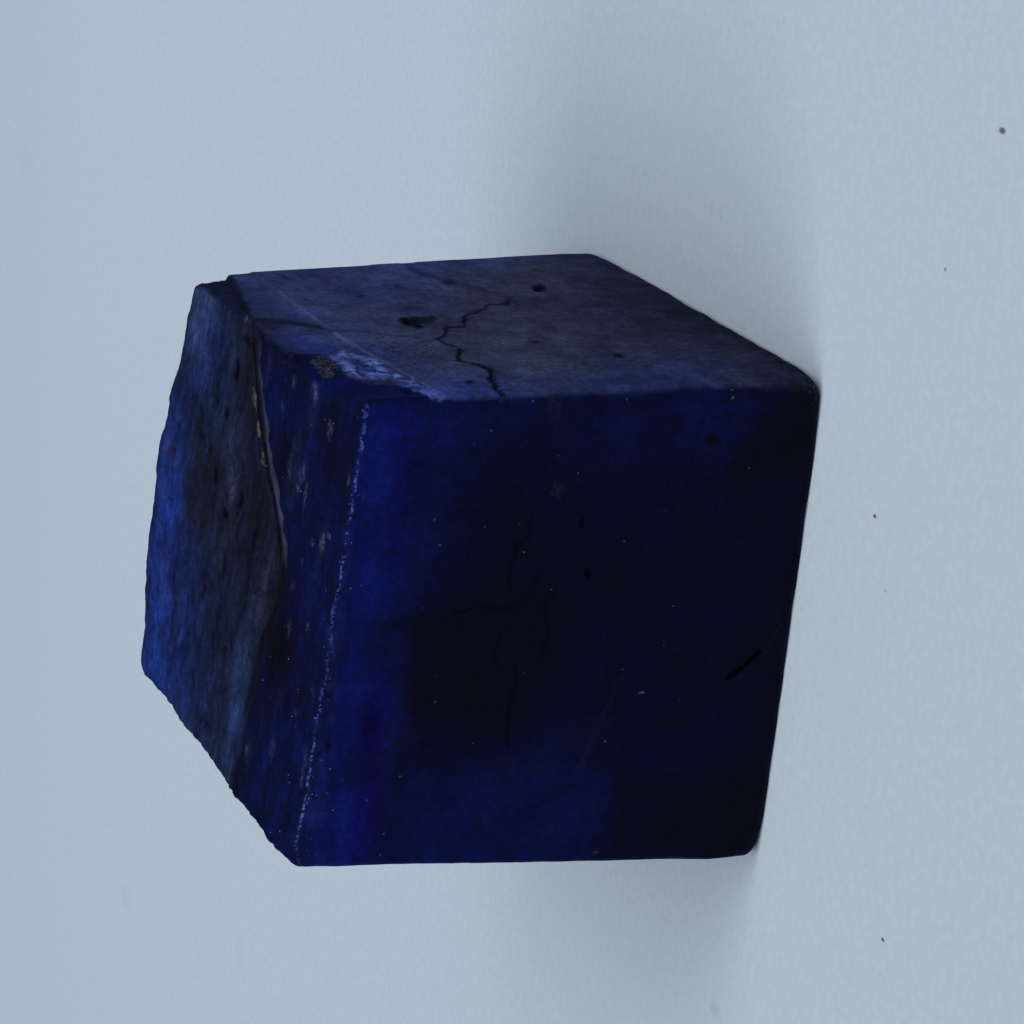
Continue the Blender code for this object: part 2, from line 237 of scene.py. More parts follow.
side_crack = ((4.7, 11.6), (6.4, 12.2), (8.2, 13), (9.3, 13.9), (11, 14.6), (13.4, 15.2))


def over_break(points):
    """Height over the lower line of the long chip, and how much of the chip is there."""
    y, z = points[:, 1], points[:, 2]
    (y1, z1), (y2, z2) = break_line
    over = z - z1 - (z2 - z1) * (y - y1) / (y2 - y1) + 0.12 * wander(points, 0.9, 3, shift=5)
    return over, smooth(over / 0.15) * smooth((y - y1 + 0.6) / 0.8)


def in_scar(points):
    y, z = points[:, 1], points[:, 2]
    away = line_distance(y, z, scar)
    ragged = 0.5 * wander(points, 0.8, 3, shift=9)
    return smooth((scar_width - away + ragged) / 0.5) * smooth((z - read_table(saw_step, y)) / 0.2)


def right_set_back(points):
    """How far the right face is set back from its plane, the cracks left out."""
    y, z = points[:, 1], points[:, 2]
    over_step = z - read_table(saw_step, y)
    inset = step_depth * smooth(over_step / 0.25) + step_lean * np.maximum(over_step, 0)
    inset *= smooth((y + 15.4) / 1.5)
    over_foot = np.maximum(z - read_table(flake_foot, y), 0)
    inset += flake_slope * over_foot * smooth((y - flake_start) / flake_run)
    over, broken = over_break(points)
    rough_break = break_depth + break_lean * np.maximum(over, 0) + 0.1 * wander(points, 1.1, 3, shift=2)
    inset = inset * (1 - broken) + broken * np.maximum(rough_break, inset)
    crumbs = wander(points, 1.5, 4, stretch=(1, 1, 0.6), shift=13)
    inset += in_scar(points) * (0.14 + 0.16 * crumbs + 0.04 * stepped(3 * crumbs))
    for pit in pits:
        inset += pit[4] * smooth(oval(y, z, pit) + 0.5 * crumbs * (pit[2] > 0.4))
    return inset


def right_inset(points):
    """How far the right face is set back from its plane."""
    y, z = points[:, 1], points[:, 2]
    inset = right_set_back(points)
    zigzag = z + 0.22 * wander(points, 1.1, 4, shift=17)
    for line, width, depth in ((crack, 0.15, 0.2), (fissure, 0.1, 0.08)):
        side, where = line_side(y, zigzag, line)
        inset += depth * (1 - 0.6 * where) * smooth(1 - np.abs(side) / width)
    return inset


# ----------------------------------------------------------------------
# The smooth front face has only a short gouge low down, a scratch, three small pits and a few
# nicks. All are given by x and z.
gouge = ((-3.4, 3.9), (-2.6, 2.9), (-1.7, 2))
gouge_depth, gouge_width = 0.22, 0.2
scratch = ((-9.2, 13.3), (-6, 12.3), (-3, 11.2))
front_pits = (
    (5.6, 18.9, 0.55, 0.3, 0.14, -30), (4, 14.3, 0.3, 0.18, 0.1, 10), (9.6, 8.9, 0.16, 0.14, 0.08, 0))


def front_inset(points):
    """How far the front face is set back from its plane."""
    x, z = points[:, 0], points[:, 2]
    inset = gouge_depth * smooth(1 - line_distance(x, z, gouge) / gouge_width)
    for pit in front_pits:
        inset += pit[4] * np.sqrt(np.clip(oval(x, z, pit), 0, 1))
    return inset


# ----------------------------------------------------------------------
# The skin: a cube divided finely where the stone is rough, and drawn onto the faces. The edges are
# worn round, and flat nicks are broken out of them.
side_wear, rim_wear, base_wear = 0.42, 0.34, 0.5     # widths of the worn edges
corner_wear, corner_reach = 1.6, 2.2                 # how much rounder the base's corners are
nick_start, nick_edge = -0.35, 0.1                   # no nick is less than this deep; its soft edge
half_root_2 = 0.7071
first_squares, rounds_of_cutting, too_long_by = 44, 3, 1.35


def worn_join(one, other, width, nick):
    """Join two (distance, facing) pairs at an edge of this width, with nicks this deep."""
    (d1, n1), (d2, n2) = one, other
    share = np.clip(0.5 + 0.5 * (d2 - d1) / width, 0, 1)
    distance = d1 * (1 - share) + d2 * share + width * share * (1 - share)
    facing = n1 * (1 - share)[:, None] + n2 * share[:, None]
    across = (d1 + d2) * half_root_2 + nick
    share = np.clip(0.5 + 0.5 * (across - distance) / nick_edge, 0, 1)
    distance = distance * (1 - share) + across * share + nick_edge * share * (1 - share)
    facing = facing * (1 - share)[:, None] + 0.5 * (n1 + n2) * share[:, None]
    return distance, facing


def plane_distance(points, side, which, inset=0):
    outward, reach = side
    facing = np.zeros((len(points), 9))
    facing[:, :3] = outward
    facing[:, 3 + which] = 1
    return points @ outward - reach + inset, facing


def nick_depth(points, size, least, deepest, shift):
    """Flat nicks: nearly even within a patch and gone between patches."""
    patch = wander(points, size, 2, shift=shift)
    flat_nick = np.clip((patch - least) * 4, 0, 1) * deepest
    return nick_start + flat_nick + 0.05 * wander(points, 2.4, 2, shift=shift)


def skin(points):
    """How far each point is outside the stone, and which way and which faces it belongs to."""
    crumble = wander(points, 1.2, 4, stretch=(0.8, 1.2, 1.2), shift=51)
    nearest = np.min([np.linalg.norm(points - corner, axis=1) for corner in base_corners], axis=0)
    wear = 1 + 0.5 * wander(points, 0.35, 2) + corner_wear * np.exp(-(nearest / corner_reach) ** 2)
    side_nicks = nick_depth(points, size=0.75, least=0.12, deepest=0.36, shift=21)
    top_nicks = nick_depth(points, size=0.9, least=0.05, deepest=0.34, shift=31)
    top_nicks = nick_start + (top_nicks - nick_start) * (0.35 + 0.65 * smooth((-10 - points[:, 1]) / 3))
    result = plane_distance(points, front, FRONT, front_inset(points))
    for side, which, inset in ((right, RIGHT, right_inset(points)), (back, BACK, 0), (left, LEFT, 0)):
        result = worn_join(result, plane_distance(points, side, which, inset), side_wear * wear, side_nicks)
    split = plane_distance(points, top, TOP, -top_relief(points))
    to_rim = np.minimum(np.abs(result[0]), 3) ** 2 + np.minimum(np.abs(split[0]), 3) ** 2
    near_rim = smooth((-12 - points[:, 1]) / 3) * smooth(points[:, 0] + 15.2) * np.exp(-to_rim / 0.8)
    result = worn_join(result, split, rim_wear * wear, top_nicks)
    result = (result[0] + near_rim * (0.03 + 0.09 * crumble), result[1])
    distance, facing = worn_join(result, plane_distance(points, base, BASE), base_wear * wear, side_nicks)
    facing[:, :3] /= np.linalg.norm(facing[:, :3], axis=1, keepdims=True)
    return distance, facing


def draw_onto_skin(points, rounds):
    for _ in range(rounds):
        distance, facing = skin(points)
        points = points - facing[:, :3] * distance[:, None]
    return points


def block_points(unit):
    """Places of cube points (each coordinate -1 to 1) on the flat-faced block."""
    places = np.zeros_like(unit)
    for x, side in ((-1, left), (1, right)):
        for y, end in ((-1, front), (1, back)):
            for z, level in ((-1, base), (1, top)):
                weight = (1 + x * unit[:, 0]) * (1 + y * unit[:, 1]) * (1 + z * unit[:, 2]) / 8
                places += weight[:, None] * meeting_point(side, end, level)
    return places


def wanted_size(points):
    """How long a mesh edge may be at each place."""
    x, y, z = points.T
    depth = {which: side[1] - points @ side[0] for which, side in
             ((FRONT, front), (RIGHT, right), (BACK, back), (LEFT, left), (TOP, top))}
    second = np.sort(np.array([*depth.values(), z]), axis=0)[1]
    on_top, on_right, on_front = depth[TOP] < 1.3, depth[RIGHT] < 0.9, depth[FRONT] < 0.5
    size = np.where(on_right | on_front, 0.42, 0.85)
    size[second < 0.8] = 0.24
    size[on_top] = 0.2
    size[on_right & (z > 26)] = 0.22
    size[on_right & (y < -4) & (z > 24.8)] = 0.16
    for line, reach in ((crack, 0.3), (fissure, 0.25)):
        size[on_right & (line_distance(y, z, line) < reach)] = 0.13
    for pit in pits:
        size[on_right & (oval(y, z, pit) > -0.9)] = 0.16
    size[(depth[TOP] < 0.7) & (depth[FRONT] < 0.7)] = 0.15
    size[on_front & (line_distance(x, z, gouge) < 0.35)] = 0.16
    size[on_front & (line_distance(x, z, scratch) < 0.3)] = 0.18
    size[on_front & (x > -8) & (x < 10) & (z > 14) & (z < 23.5)] = 0.24
    for pit in front_pits:
        size[on_front & (oval(x, z, pit) > -0.8)] = 0.14
    size[on_right & (np.abs(z - read_table(saw_step, y)) < 0.25)] = 0.13
    past = behind_ledge(x, y)
    size[on_top & (x > 0) & (past > -0.4) & (past < 1.6)] = 0.16
    return size


def put_in_scene(name, made_of):
    placed = bpy.data.objects.new(name, made_of)
    bpy.context.scene.collection.objects.link(placed)
    return placed


def keep_in_box(data, unit):
    """Draw a mesh's points into the CAD model's box. Gives them in millimetres."""
    places = np.empty(len(data.vertices) * 3)
    data.vertices.foreach_get("co", places)
    low, high = (np.array(corner) / MM for corner in cad_box)
    places = np.clip(places.reshape(-1, 3) * unit, low, high)
    data.vertices.foreach_set("co", (places * MM).ravel())
    data.update()
    return places


# an evenly cut cube, cut finer three times where its edges are still too long
mesh = bmesh.new()
bmesh.ops.create_cube(mesh, size=2)
bmesh.ops.subdivide_edges(mesh, edges=mesh.edges[:], cuts=first_squares - 1, use_grid_fill=True)
places = draw_onto_skin(block_points(np.array([vert.co for vert in mesh.verts])), 6)
for vert, place in zip(mesh.verts, places):
    vert.co = place
for _ in range(rounds_of_cutting):
    edges = mesh.edges[:]
    ends = np.array([[end.co for end in edge.verts] for edge in edges])
    lengths = np.linalg.norm(ends[:, 0] - ends[:, 1], axis=1)
    too_long = lengths > too_long_by * wanted_size(ends.mean(axis=1))
    bmesh.ops.subdivide_edges(mesh, edges=[edge for edge, long in zip(edges, too_long) if long],
                              cuts=1, use_grid_fill=True)
    places = draw_onto_skin(np.array([vert.co for vert in mesh.verts]), 2)
    for vert, place in zip(mesh.verts, places):
        vert.co = place
bmesh.ops.triangulate(mesh, faces=mesh.faces[:])
for polygon in mesh.faces:
    polygon.smooth = True
data = bpy.data.meshes.new("tanzanite_skin")
mesh.to_mesh(data)
mesh.free()
points = keep_in_box(data, 1)
stone = put_in_scene("tanzanite_skin", data)

# ----------------------------------------------------------------------
# Where its colours lie. The heart of the stone is nearly black. Light comes through it as deep blue by the
# edges, painted into the colour; a grey film with a painted sheen covers the matt faces, earth, pale
# scrapes and painted highlights lie on the breaks, and pits, cracks and crevices are painted dark with
# their shade.
face_reach = (0.55, 1.6, 1, 1, 1, 1)     # how far round its edges each face's colours go
_, facing = skin(points)                 # a place by an edge takes a share of each face's colours
share = (facing[:, 3:] * face_reach) ** 1.6
share /= share.sum(axis=1, keepdims=True)
x, y, z = points.T
broad = wander(points, 0.16, 3, shift=41)
middling = wander(points, 0.5, 4, shift=43)
fine = wander(points, 1.6, 4, shift=47)


def spread(u, v, marks, edge=1, ragged=0.35):
    """Strength of a set of oval marks at each place, with soft and slightly ragged rims."""
    total = np.zeros(len(u))
    for mark in marks:
        inside = oval(u, v, mark) + ragged * (0.7 * middling + 0.5 * fine)
        total = np.maximum(total, mark[4] * smooth(inside / edge))
    return total


def soft_sum(u, v, marks):
    """Strength of a set of very soft marks, which add up where they meet."""
    return sum(mark[4] * np.exp(-(1 - oval(u, v, mark))) for mark in marks)


def line_mark(u, v, line, width, reach=1.5):
    """1 on a broken line, falling to 0 at this many widths from it."""
    return smooth(reach - line_distance(u, v, line) / width)


def most(*layers):
    return np.maximum.reduce(layers)


# the front face, by x and z
front_glow = 0.075 * smooth((z + 4) / 9) + soft_sum(x, z, (
    (-13, 28.6, 5, 1.7, 0.5), (-9, 28.9, 3, 1.2, 0.35), (-4, 28.7, 3, 1.3, 0.55),
    (-1.5, 28.8, 1.1, 0.6, 0.25), (4, 28.2, 2.8, 1.9, 0.68), (9.5, 28.2, 4, 2, 0.55),
    (14.5, 28, 3, 2.4, 0.42), (-11, 26.8, 3.6, 0.9, 0.25), (-3, 27.3, 2.6, 1, 0.22),
    (1, 28.6, 1.2, 1.4, 0.35), (4.5, 25, 4, 1.6, 0.2), (9, 24.3, 3.5, 1.6, 0.16), (12.5, 25, 3, 3, 0.25),
    (-6, 26.2, 3, 1.2, 0.28), (-2, 25.9, 2.5, 0.8, 0.18), (-13.5, 23, 4.6, 5, 0.36),
    (-13.5, 14.8, 4.4, 4.4, 0.3), (-8.5, 19, 2.6, 6, 0.1), (14.5, 18.5, 2.4, 5, 0.17),
    (13, 13, 2.2, 4, 0.13), (14, 7.5, 2.6, 3.4, 0.24), (-9, 8, 4, 4, 0.06), (3.5, 22.5, 2.4, 2.4, 0.05),
    (-3.5, 16, 3.5, 3, 0.07), (9, 13, 3, 4, 0.05)))
left_zone_foot = 10.7 + 0.5 * smooth((x + 13) / 3) + 0.25 * middling
front_glow *= 1 - 0.62 * smooth((left_zone_foot - z) / 0.8) * smooth((-8 - x) / 3)
right_zone_foot = 6.4 - 0.85 * (x - 10.6) + 0.2 * middling
front_glow *= 1 - 0.6 * smooth((right_zone_foot - z) / 0.8) * smooth(x - 9.5)
core_top = 25 + 0.45 * middling + 0.15 * fine + 0.1 * (x + 3)
front_glow *= 1 - 0.6 * smooth((core_top - z) / 0.35) * smooth(oval(x, z, (-1.8, 21, 8.5, 8, 1)) / 0.8)
front_glow *= 1 - 0.5 * spread(x, z, ((0.9, 25, 0.7, 4.5, 1), (0.9, 20, 0.4, 4, 0.6)))
front_glow *= 1 - 0.85 * spread(x, z, ((12.3, 7.1, 0.5, 0.55, 1),), edge=0.6)
front_glow += 0.2 * smooth((z - 29.2) / 0.6)
ring = spread(x, z, ((12.3, 7.1, 1.2, 1.1, 1),)) * (1 - spread(x, z, ((12.3, 7.1, 0.6, 0.6, 1),)))
front_glow += 0.1 * ring
front_violet = spread(x, z, (
    (-11.2, 26.9, 4.3, 1.3, 0.9), (-5.6, 27, 3.2, 1.1, 0.9), (-8.3, 27.1, 3, 1.1, 0.8),
    (-2.6, 26.8, 1.6, 0.8, 0.5), (6.5, 26.8, 3.4, 0.6, 0.7), (9.5, 26.6, 4.5, 0.7, 0.6),
    (13.5, 27, 2, 1, 0.5)))
# painted shade in the front's pits and gouge, and dark seams in the stone
front_shade_and_dark = spread(x, z, (
    (-5.2, 27.3, 2.2, 0.7, 0.3), (3.8, 14.2, 0.42, 0.26, 0.9), (7.2, 15, 0.6, 0.2, 0.6),
    (8, 9.2, 0.18, 0.18, 0.8), (11, 25.7, 0.4, 0.3, 0.6)), edge=0.7)
for seam, width, depth in (
        (((-7.4, 18.2), (-4.5, 18.5), (-2.2, 18.3)), 0.14, 0.5),
        (((-2, 19.4), (-0.9, 19.7), (0.6, 19.2)), 0.12, 0.4),
        (((-1.6, 16.6), (0.4, 16.5), (2, 16.9), (2.4, 16.4)), 0.12, 0.45),
        (((1.6, 22.8), (1.9, 20.8), (1.8, 18.6), (3.1, 17.8), (3.9, 17.4)), 0.12, 0.45),
        (((3.2, 19.2), (4.6, 19.4), (6, 18.6), (7.6, 18.2)), 0.12, 0.45)):
    seam_mark = line_mark(x + 0.25 * fine, z + 0.25 * middling, seam, width, 1.6)
    front_shade_and_dark = most(front_shade_and_dark, depth * seam_mark)
front_pale = spread(x, z, ((14.5, 17.6, 1.2, 0.6, 0.01), (9.2, 16.8, 0.7, 0.6, 0.012)))
gouge_end = ((-1.7, 1.7), (-0.4, 0.95), (1.2, 0.9))
for line in (scratch, gouge_end):
    front_pale = most(front_pale, 0.004 * line_mark(x, z, line, 0.12, 1.8))
front_film_and_sheen = 0.02 + 0.06 * smooth((z - 29.1) / 0.6) * (1 + 0.9 * middling + 0.5 * fine)
front_earth = spread(x, z, (
    (5.2, 18.8, 0.8, 0.35, 0.5, -35), (9.2, 16.8, 0.7, 0.6, 0.22), (14.5, 0.5, 1.4, 0.5, 0.5),
    (15.8, 1.6, 0.5, 0.9, 0.6)))
front_earth = most(front_earth, 0.25 * smooth((3 - z) / 3) * smooth(0.5 + broad))
front_shade_and_dark = most(front_shade_and_dark, line_mark(x, z, gouge, 0.17))

# the right face, by y and z. Where it is set back its places look shifted from the front, so its
# colours are laid by where they are seen
right_shift = (2.79, 1.32)     # how far a place seems to move, for each millimetre it is set back
over, broken = over_break(points)
over_step = z - read_table(saw_step, y)
set_back = right_set_back(points)
y, z = y - right_shift[0] * set_back, z + right_shift[1] * set_back
# the grey film of the matt right face, with a painted sheen standing in for the light it reflects, by
# height
film_and_sheen_by_height = (
    (0, 0.3), (3, 0.45), (6, 0.53), (9, 0.55), (13, 0.66), (17, 0.71), (20, 0.67), (23, 0.72), (25.5, 0.72),
    (27.5, 0.58), (29, 0.34), (32, 0.2))
right_film_and_sheen = read_table(film_and_sheen_by_height, z) + soft_sum(y, z, (
    (13, 20, 3.5, 9, 0.1), (10, 8.5, 4.5, 4, 0.1), (-14.5, 12, 3.5, 5, -0.13), (-6, 25.6, 3.6, 1, 0.15),
    (-2.5, 28.6, 2.6, 1.8, 0.24), (-12, 19.5, 3, 1.5, -0.08), (-9, 16.5, 5, 3, 0.04), (3, 16, 3, 3, -0.04),
    (12, 2, 4, 2.5, 0.08), (0.5, 11.5, 4, 2.5, 0.1), (-5, 16, 3, 2.5, 0.08), (-5.5, 23.5, 3.5, 2.4, 0.1),
    (-3, 17, 2, 3, 0.06), (5, 26.8, 4, 1.6, 0.06), (-12.3, 27.7, 0.9, 1.4, -0.4)))
right_film_and_sheen *= 1 + 0.4 * middling + 0.25 * fine + 0.3 * broad
right_glow = 0.03 + soft_sum(y, z, (
    (-15.5, 23, 3, 4, 0.42), (-12, 22.6, 4, 2, 0.2), (-15.5, 14, 3.6, 6.5, 0.36), (-6, 28.6, 3, 2, 0.3),
    (-11, 25.2, 5, 1.4, 0.15), (-3, 28.6, 2.6, 1.8, 0.42), (6, 27.4, 7, 2.2, 0.3), (12, 20, 4.5, 7, 0.32),
    (5, 20.5, 5, 4, 0.18), (-3, 24, 7, 2.2, 0.16), (14, 12, 3.5, 4, 0.16), (8, 17, 4, 2.5, 0.1),
    (-13, 8, 4, 4, 0.14), (13, 4, 3, 4, 0.06), (15.2, 16, 1.2, 12, 0.45), (-1, 18, 5, 4, 0.03),
    (-7, 25.4, 5, 1.2, 0.16), (5, 26.5, 7, 2.4, 0.18), (-12.3, 27.7, 0.9, 1.4, 0.2)))
bare_foot = (
    (-16.4, 24.9), (-14.8, 25.5), (-12.7, 26.15), (-12.2, 27.8), (-10.4, 28.6), (-8.4, 28.5), (-7.3, 28.3),
    (-5.6, 28.6), (-5.1, 29.6), (-5, 33))
over_bare, _ = line_side(y, z, bare_foot)
bare = smooth((over_bare + 0.15 * middling + 0.15 * fine) / 0.2) * (y < -4.5)
bare = np.clip(bare + broken, 0, 1)
right_film_and_sheen = right_film_and_sheen * (1 - bare) + 0.1 * broken
near_glow = 0.26 + soft_sum(y, z, ((-15, 27.5, 2, 1.6, 0.06), (-11.6, 27.5, 0.8, 0.9, 0.3)))
right_glow = right_glow * (1 - bare) + near_glow * bare * (1 - broken) + 0.14 * broken
step_strength = read_plain((
    (-17, 0), (-14, 0.25), (-13, 0.85), (-8, 0.9), (-5, 1), (-1.5, 1), (0, 0.95), (3, 0.8), (7, 0.5),
    (11, 0.2), (17, 0.08)), y)
step_strength *= 1 - spread(y, z, ((-0.7, 26.1, 0.8, 0.4, 1),))
step_width = read_plain(((-14, 0.65), (-8, 0.8), (-4, 1.5), (3, 1.8)), y)
scarred = spread(y, z, ((-8.4, 27, 3.9, 1.7, 1), (-12.6, 25.6, 3, 0.6, 1, 8), (-15, 24.9, 1.1, 0.7, 0.8)),
                 edge=0.5, ragged=0.6) * (1 - bare) * smooth(over_step / 0.15 + 0.5)
scar_clumps = soft_sum(y, z, (
    (-9, 27.95, 1.4, 0.42, 1.2), (-10.5, 26.6, 1, 0.6, 1.3, 60), (-6.1, 27.3, 0.7, 0.6, 0.5),
    (-8.9, 26.45, 0.8, 0.3, 0.8), (-12.2, 27.2, 0.3, 0.2, 0.7), (-15.2, 25.15, 0.6, 0.25, 0.8),
    (-12.5, 25.45, 0.7, 0.15, 0.5), (-8.9, 25.9, 2.2, 0.5, 1, 8), (-5.5, 28, 0.3, 1.1, 0.3),
    (-15, 24.5, 0.9, 0.5, 0.2)))
right_film_and_sheen *= 1 - 0.35 * scarred
right_glow += scarred * (0.36 + 0.16 * np.clip(scar_clumps, 0, 1))
scarred = scarred * np.clip(0.32 + 0.8 * scar_clumps + 0.35 * fine, 0, 1)
scar_dark = 0.42 * spread(y, z, (
    (-8.5, 26.75, 0.35, 0.16, 1), (-7.4, 26.85, 0.3, 0.16, 1), (-6.3, 26.85, 0.3, 0.2, 0.9),
    (-4.7, 26.5, 0.3, 0.3, 0.5), (-7.7, 26.1, 0.5, 0.2, 0.6), (-9.4, 26.9, 0.3, 0.15, 0.7),
    (-13.6, 25.1, 0.5, 0.15, 0.7), (-10.9, 25.5, 1.1, 0.22, 0.4)), edge=0.6, ragged=1)
right_specks = soft_sum(y, z, (
    (-9.5, 23.4, 4.5, 1.5, 1), (-4.5, 22.9, 3, 1.8, 0.9), (-12.5, 19, 2.5, 1.5, 0.7), (0, 12, 14, 12, 0.35),
    (-9, 26.8, 4, 1.2, 1.5)))
right_granules = bare * spread(y, z, ((-7.9, 29.2, 3.1, 0.9, 0.9, -14),), ragged=0.8)
# painted shade in the right face's pits, the scar, the fissures and under the long chip
right_shade_and_dark = spread(y, z, (
    (6.8, 8.5, 1.4, 0.62, 0.84, -25), (-5.7, 14.3, 0.5, 0.38, 0.84, -20),
    (-9.7, 10.4, 0.6, 0.48, 0.84, -15), (-13.2, 21.9, 0.66, 0.34, 0.92, -28),
    (-12.1, 20.8, 0.3, 0.15, 0.5, -15), (-8.65, 21.2, 0.22, 0.18, 0.6), (-13.5, 19.8, 0.35, 0.25, 0.3),
    (-12.9, 18.8, 0.28, 0.18, 0.35, -20), (-6.2, 23.5, 0.42, 0.1, 0.6, -25),
    (-7.4, 22.9, 0.35, 0.15, 0.35, -30), (-8.5, 23.1, 0.5, 0.3, 0.18), (-10.6, 23.3, 0.4, 0.2, 0.2),
    (-12.2, 23.3, 0.6, 0.2, 0.25), (-16.2, 22.3, 0.3, 0.25, 0.5), (-3.1, 21.4, 0.3, 0.18, 0.75, -20),
    (-2.2, 21, 0.7, 0.12, 0.35, -25), (-2.3, 23.1, 0.5, 0.35, 0.25), (-4.1, 23.2, 0.25, 0.18, 0.4),
    (7, 21.2, 0.7, 0.3, 0.75, -20), (8.8, 18, 0.75, 0.3, 0.75, -12), (9.4, 14, 1.2, 0.65, 0.72, -15),
    (10.7, 13.3, 0.6, 0.25, 0.35, -30), (11.7, 15, 1.5, 0.4, 0.55, 8), (6.5, 12.3, 0.8, 0.4, 0.25),
    (4, 11.9, 0.45, 0.28, 0.45), (-0.15, 14.75, 0.35, 0.2, 0.3), (-12.2, 9.4, 0.5, 0.3, 0.4, -20),
    (12.4, 24.5, 1.6, 0.5, 0.45, 10), (-0.8, 26.2, 0.6, 0.3, 0.5), (3.6, 10, 1.2, 2.6, 0.12),
    (1.9, 5.5, 0.9, 4.5, 0.2), (7, 25.1, 0.7, 0.25, 0.22, -15), (-7, 3.4, 1.2, 0.35, 0.25, -60),
    (10.5, 4.1, 1, 0.35, 0.2, -40), (5.5, 2.6, 1.2, 0.5, 0.15, -30), (-5.4, 11.6, 0.5, 0.3, 0.2),
    (-16.6, 17.5, 0.3, 0.3, 0.5), (-16.6, 15.3, 0.3, 0.4, 0.4), (-16.7, 11.3, 0.3, 0.3, 0.4),
    (-16.7, 9, 0.3, 0.3, 0.3)), edge=0.9)
main_pit = spread(y, z, (
    (0.45, 20.6, 1.1, 0.62, 1, -20), (0.5, 19.8, 1.1, 0.8, 1, -20), (0.55, 19, 1, 0.6, 1, -20),
    (-0.5, 20.3, 1, 0.5, 0.9)), edge=0.5, ragged=0.4)
pit_ends = spread(y, z, (
    (-0.75, 20.2, 0.55, 0.34, 0.97, -20), (0.3, 20.7, 0.7, 0.35, 0.7, -20), (0.8, 18.7, 0.6, 0.3, 0.6, -30),
    (0.5, 19.8, 0.9, 1.2, 0.4, -20)), edge=0.6, ragged=0.4)
upper_fissure = ((2.7, 29.9), (2.2, 28.6), (1.2, 27.4), (0, 26.4))
lower_fissure = ((-0.8, 26), (-1.4, 24.4), (-2.3, 23.1), (-3.1, 21.6))
ragged_edge = ((-6.6, 30.6), (-4.5, 30.4), (-2.1, 31), (0.4, 30.9))
# a painted shadow under the long chip's lower edge
under_break = smooth(1.4 - np.abs(over + 0.05) / 0.22) * smooth((points[:, 1] - 1) / 2)
right_shade_and_dark = most(
    right_shade_and_dark, pit_ends, scar_dark, 0.7 * under_break,
    0.55 * line_mark(y + 0.15 * middling, z, upper_fissure, 0.45),
    0.22 * line_mark(y + 0.15 * middling, z, lower_fissure, 0.25),
    0.65 * line_mark(y, z + 0.35 * middling + 0.3 * fine, ragged_edge, 0.28))
zigzag = points[:, 2] + 0.22 * wander(points, 1.1, 4, shift=17) + 0.1 * wander(points, 3, 2, shift=19)
crack_side, crack_strength = np.full(len(points), 9), np.zeros(len(points))
for line, width, depth, taper in (
        (crack, 1.2, 0.9, 0.25), (fissure, 0.6, 0.4, 0), (side_crack, 2.2, 0.4, 0)):
    side, where = line_side(points[:, 1], zigzag, line)
    closer = np.abs(side / width) < np.abs(crack_side)
    crack_side = np.where(closer, side / width, crack_side)
    crack_strength = np.where(closer, depth * (1 - taper * where), crack_strength)
right_earth = spread(y, z, (
    (-8, 1, 2.6, 0.6, 0.45), (-11.7, 19.65, 1.3, 0.3, 0.5, -22), (-2.1, 18.4, 0.7, 0.45, 0.5, -40),
    (1.4, 15.9, 0.7, 0.35, 0.4, -50), (-7.1, 20, 1, 0.25, 0.35, -22), (-15.3, 1, 1, 0.8, 0.6),
    (3.4, 13.2, 0.3, 1, 0.15)))
right_earth *= 0.6 + 1.2 * np.clip(fine, 0, 1)
by_foot = smooth((1.6 - z + 0.8 * middling) / 0.8) * smooth((2 - y) / 6)
right_earth = most(right_earth, main_pit, 0.75 * by_foot * (0.5 + np.clip(fine, -0.3, 0.6)))
right_sawn = (1 - bare) * (1 - 0.45 * smooth((y + 2) / 8))

# the split top, by x and y, in the same way
x, y = points[:, 0], points[:, 1]
flat = points * (1, 1, 0)
past = past_ledge(points)
over_plane = points @ top[0] - top[1]
top_shift = (0.76, 2.11)
x, y = x - top_shift[0] * over_plane, y + top_shift[1] * over_plane
strip_share = 1 - smooth(past / 0.4 + 0.5)
rear = 1 - strip_share
lip = read_table(ledge, points[:, 0], 4)
on_lip = smooth((past + 0.12) / 0.12) * smooth((lip + 0.05 - past) / 0.12) * smooth((lip - 0.15) / 0.25)
top_glow = rear * (0.03 + soft_sum(x, y, (
    (-11, 14, 5.5, 3.6, 0.52), (-12.5, 9, 4.5, 4.5, 0.34), (-4.5, 13.8, 3, 3.2, 0.22),
    (-1, 14.9, 2.2, 2, 0.55), (3.2, 15, 2.4, 1.8, 0.42), (-5.5, 8.5, 4, 4.5, 0.2), (9.5, 8.8, 3.4, 3, 0.12),
    (11.5, 13, 3, 2.6, 0.22), (-12, 2, 4, 3, 0.14), (-9, -2.8, 6, 1.7, 0.26), (-1, 12.6, 2.2, 1.6, 0.2),
    (3, 12.8, 2.2, 1.8, 0.2), (6.5, 13, 2.5, 2.2, 0.16), (13.2, 12, 2, 2.6, 0.22), (11, 9.5, 3, 2.2, 0.1),
    (-3.5, 10.5, 3, 2, 0.08), (0, 16.5, 7, 1.2, 0.3), (5.8, 4.6, 2, 1.6, 0.05), (-2.5, 4.5, 3, 2.5, 0.05),
    (-1.3, 13.4, 2.4, 1.5, 0.46), (-7, 13.4, 2, 1.6, 0.24), (7.8, 3.6, 2, 1.6, 0.07),
    (-4, 1, 2.4, 1.6, 0.08), (-9.8, 12.6, 2, 2.2, 0.2), (-4.2, 13.2, 1, 1.2, -0.12), (8, 12.5, 2.4, 2, 0.1),
    (8.5, 8.5, 2.6, 3, 0.05))))
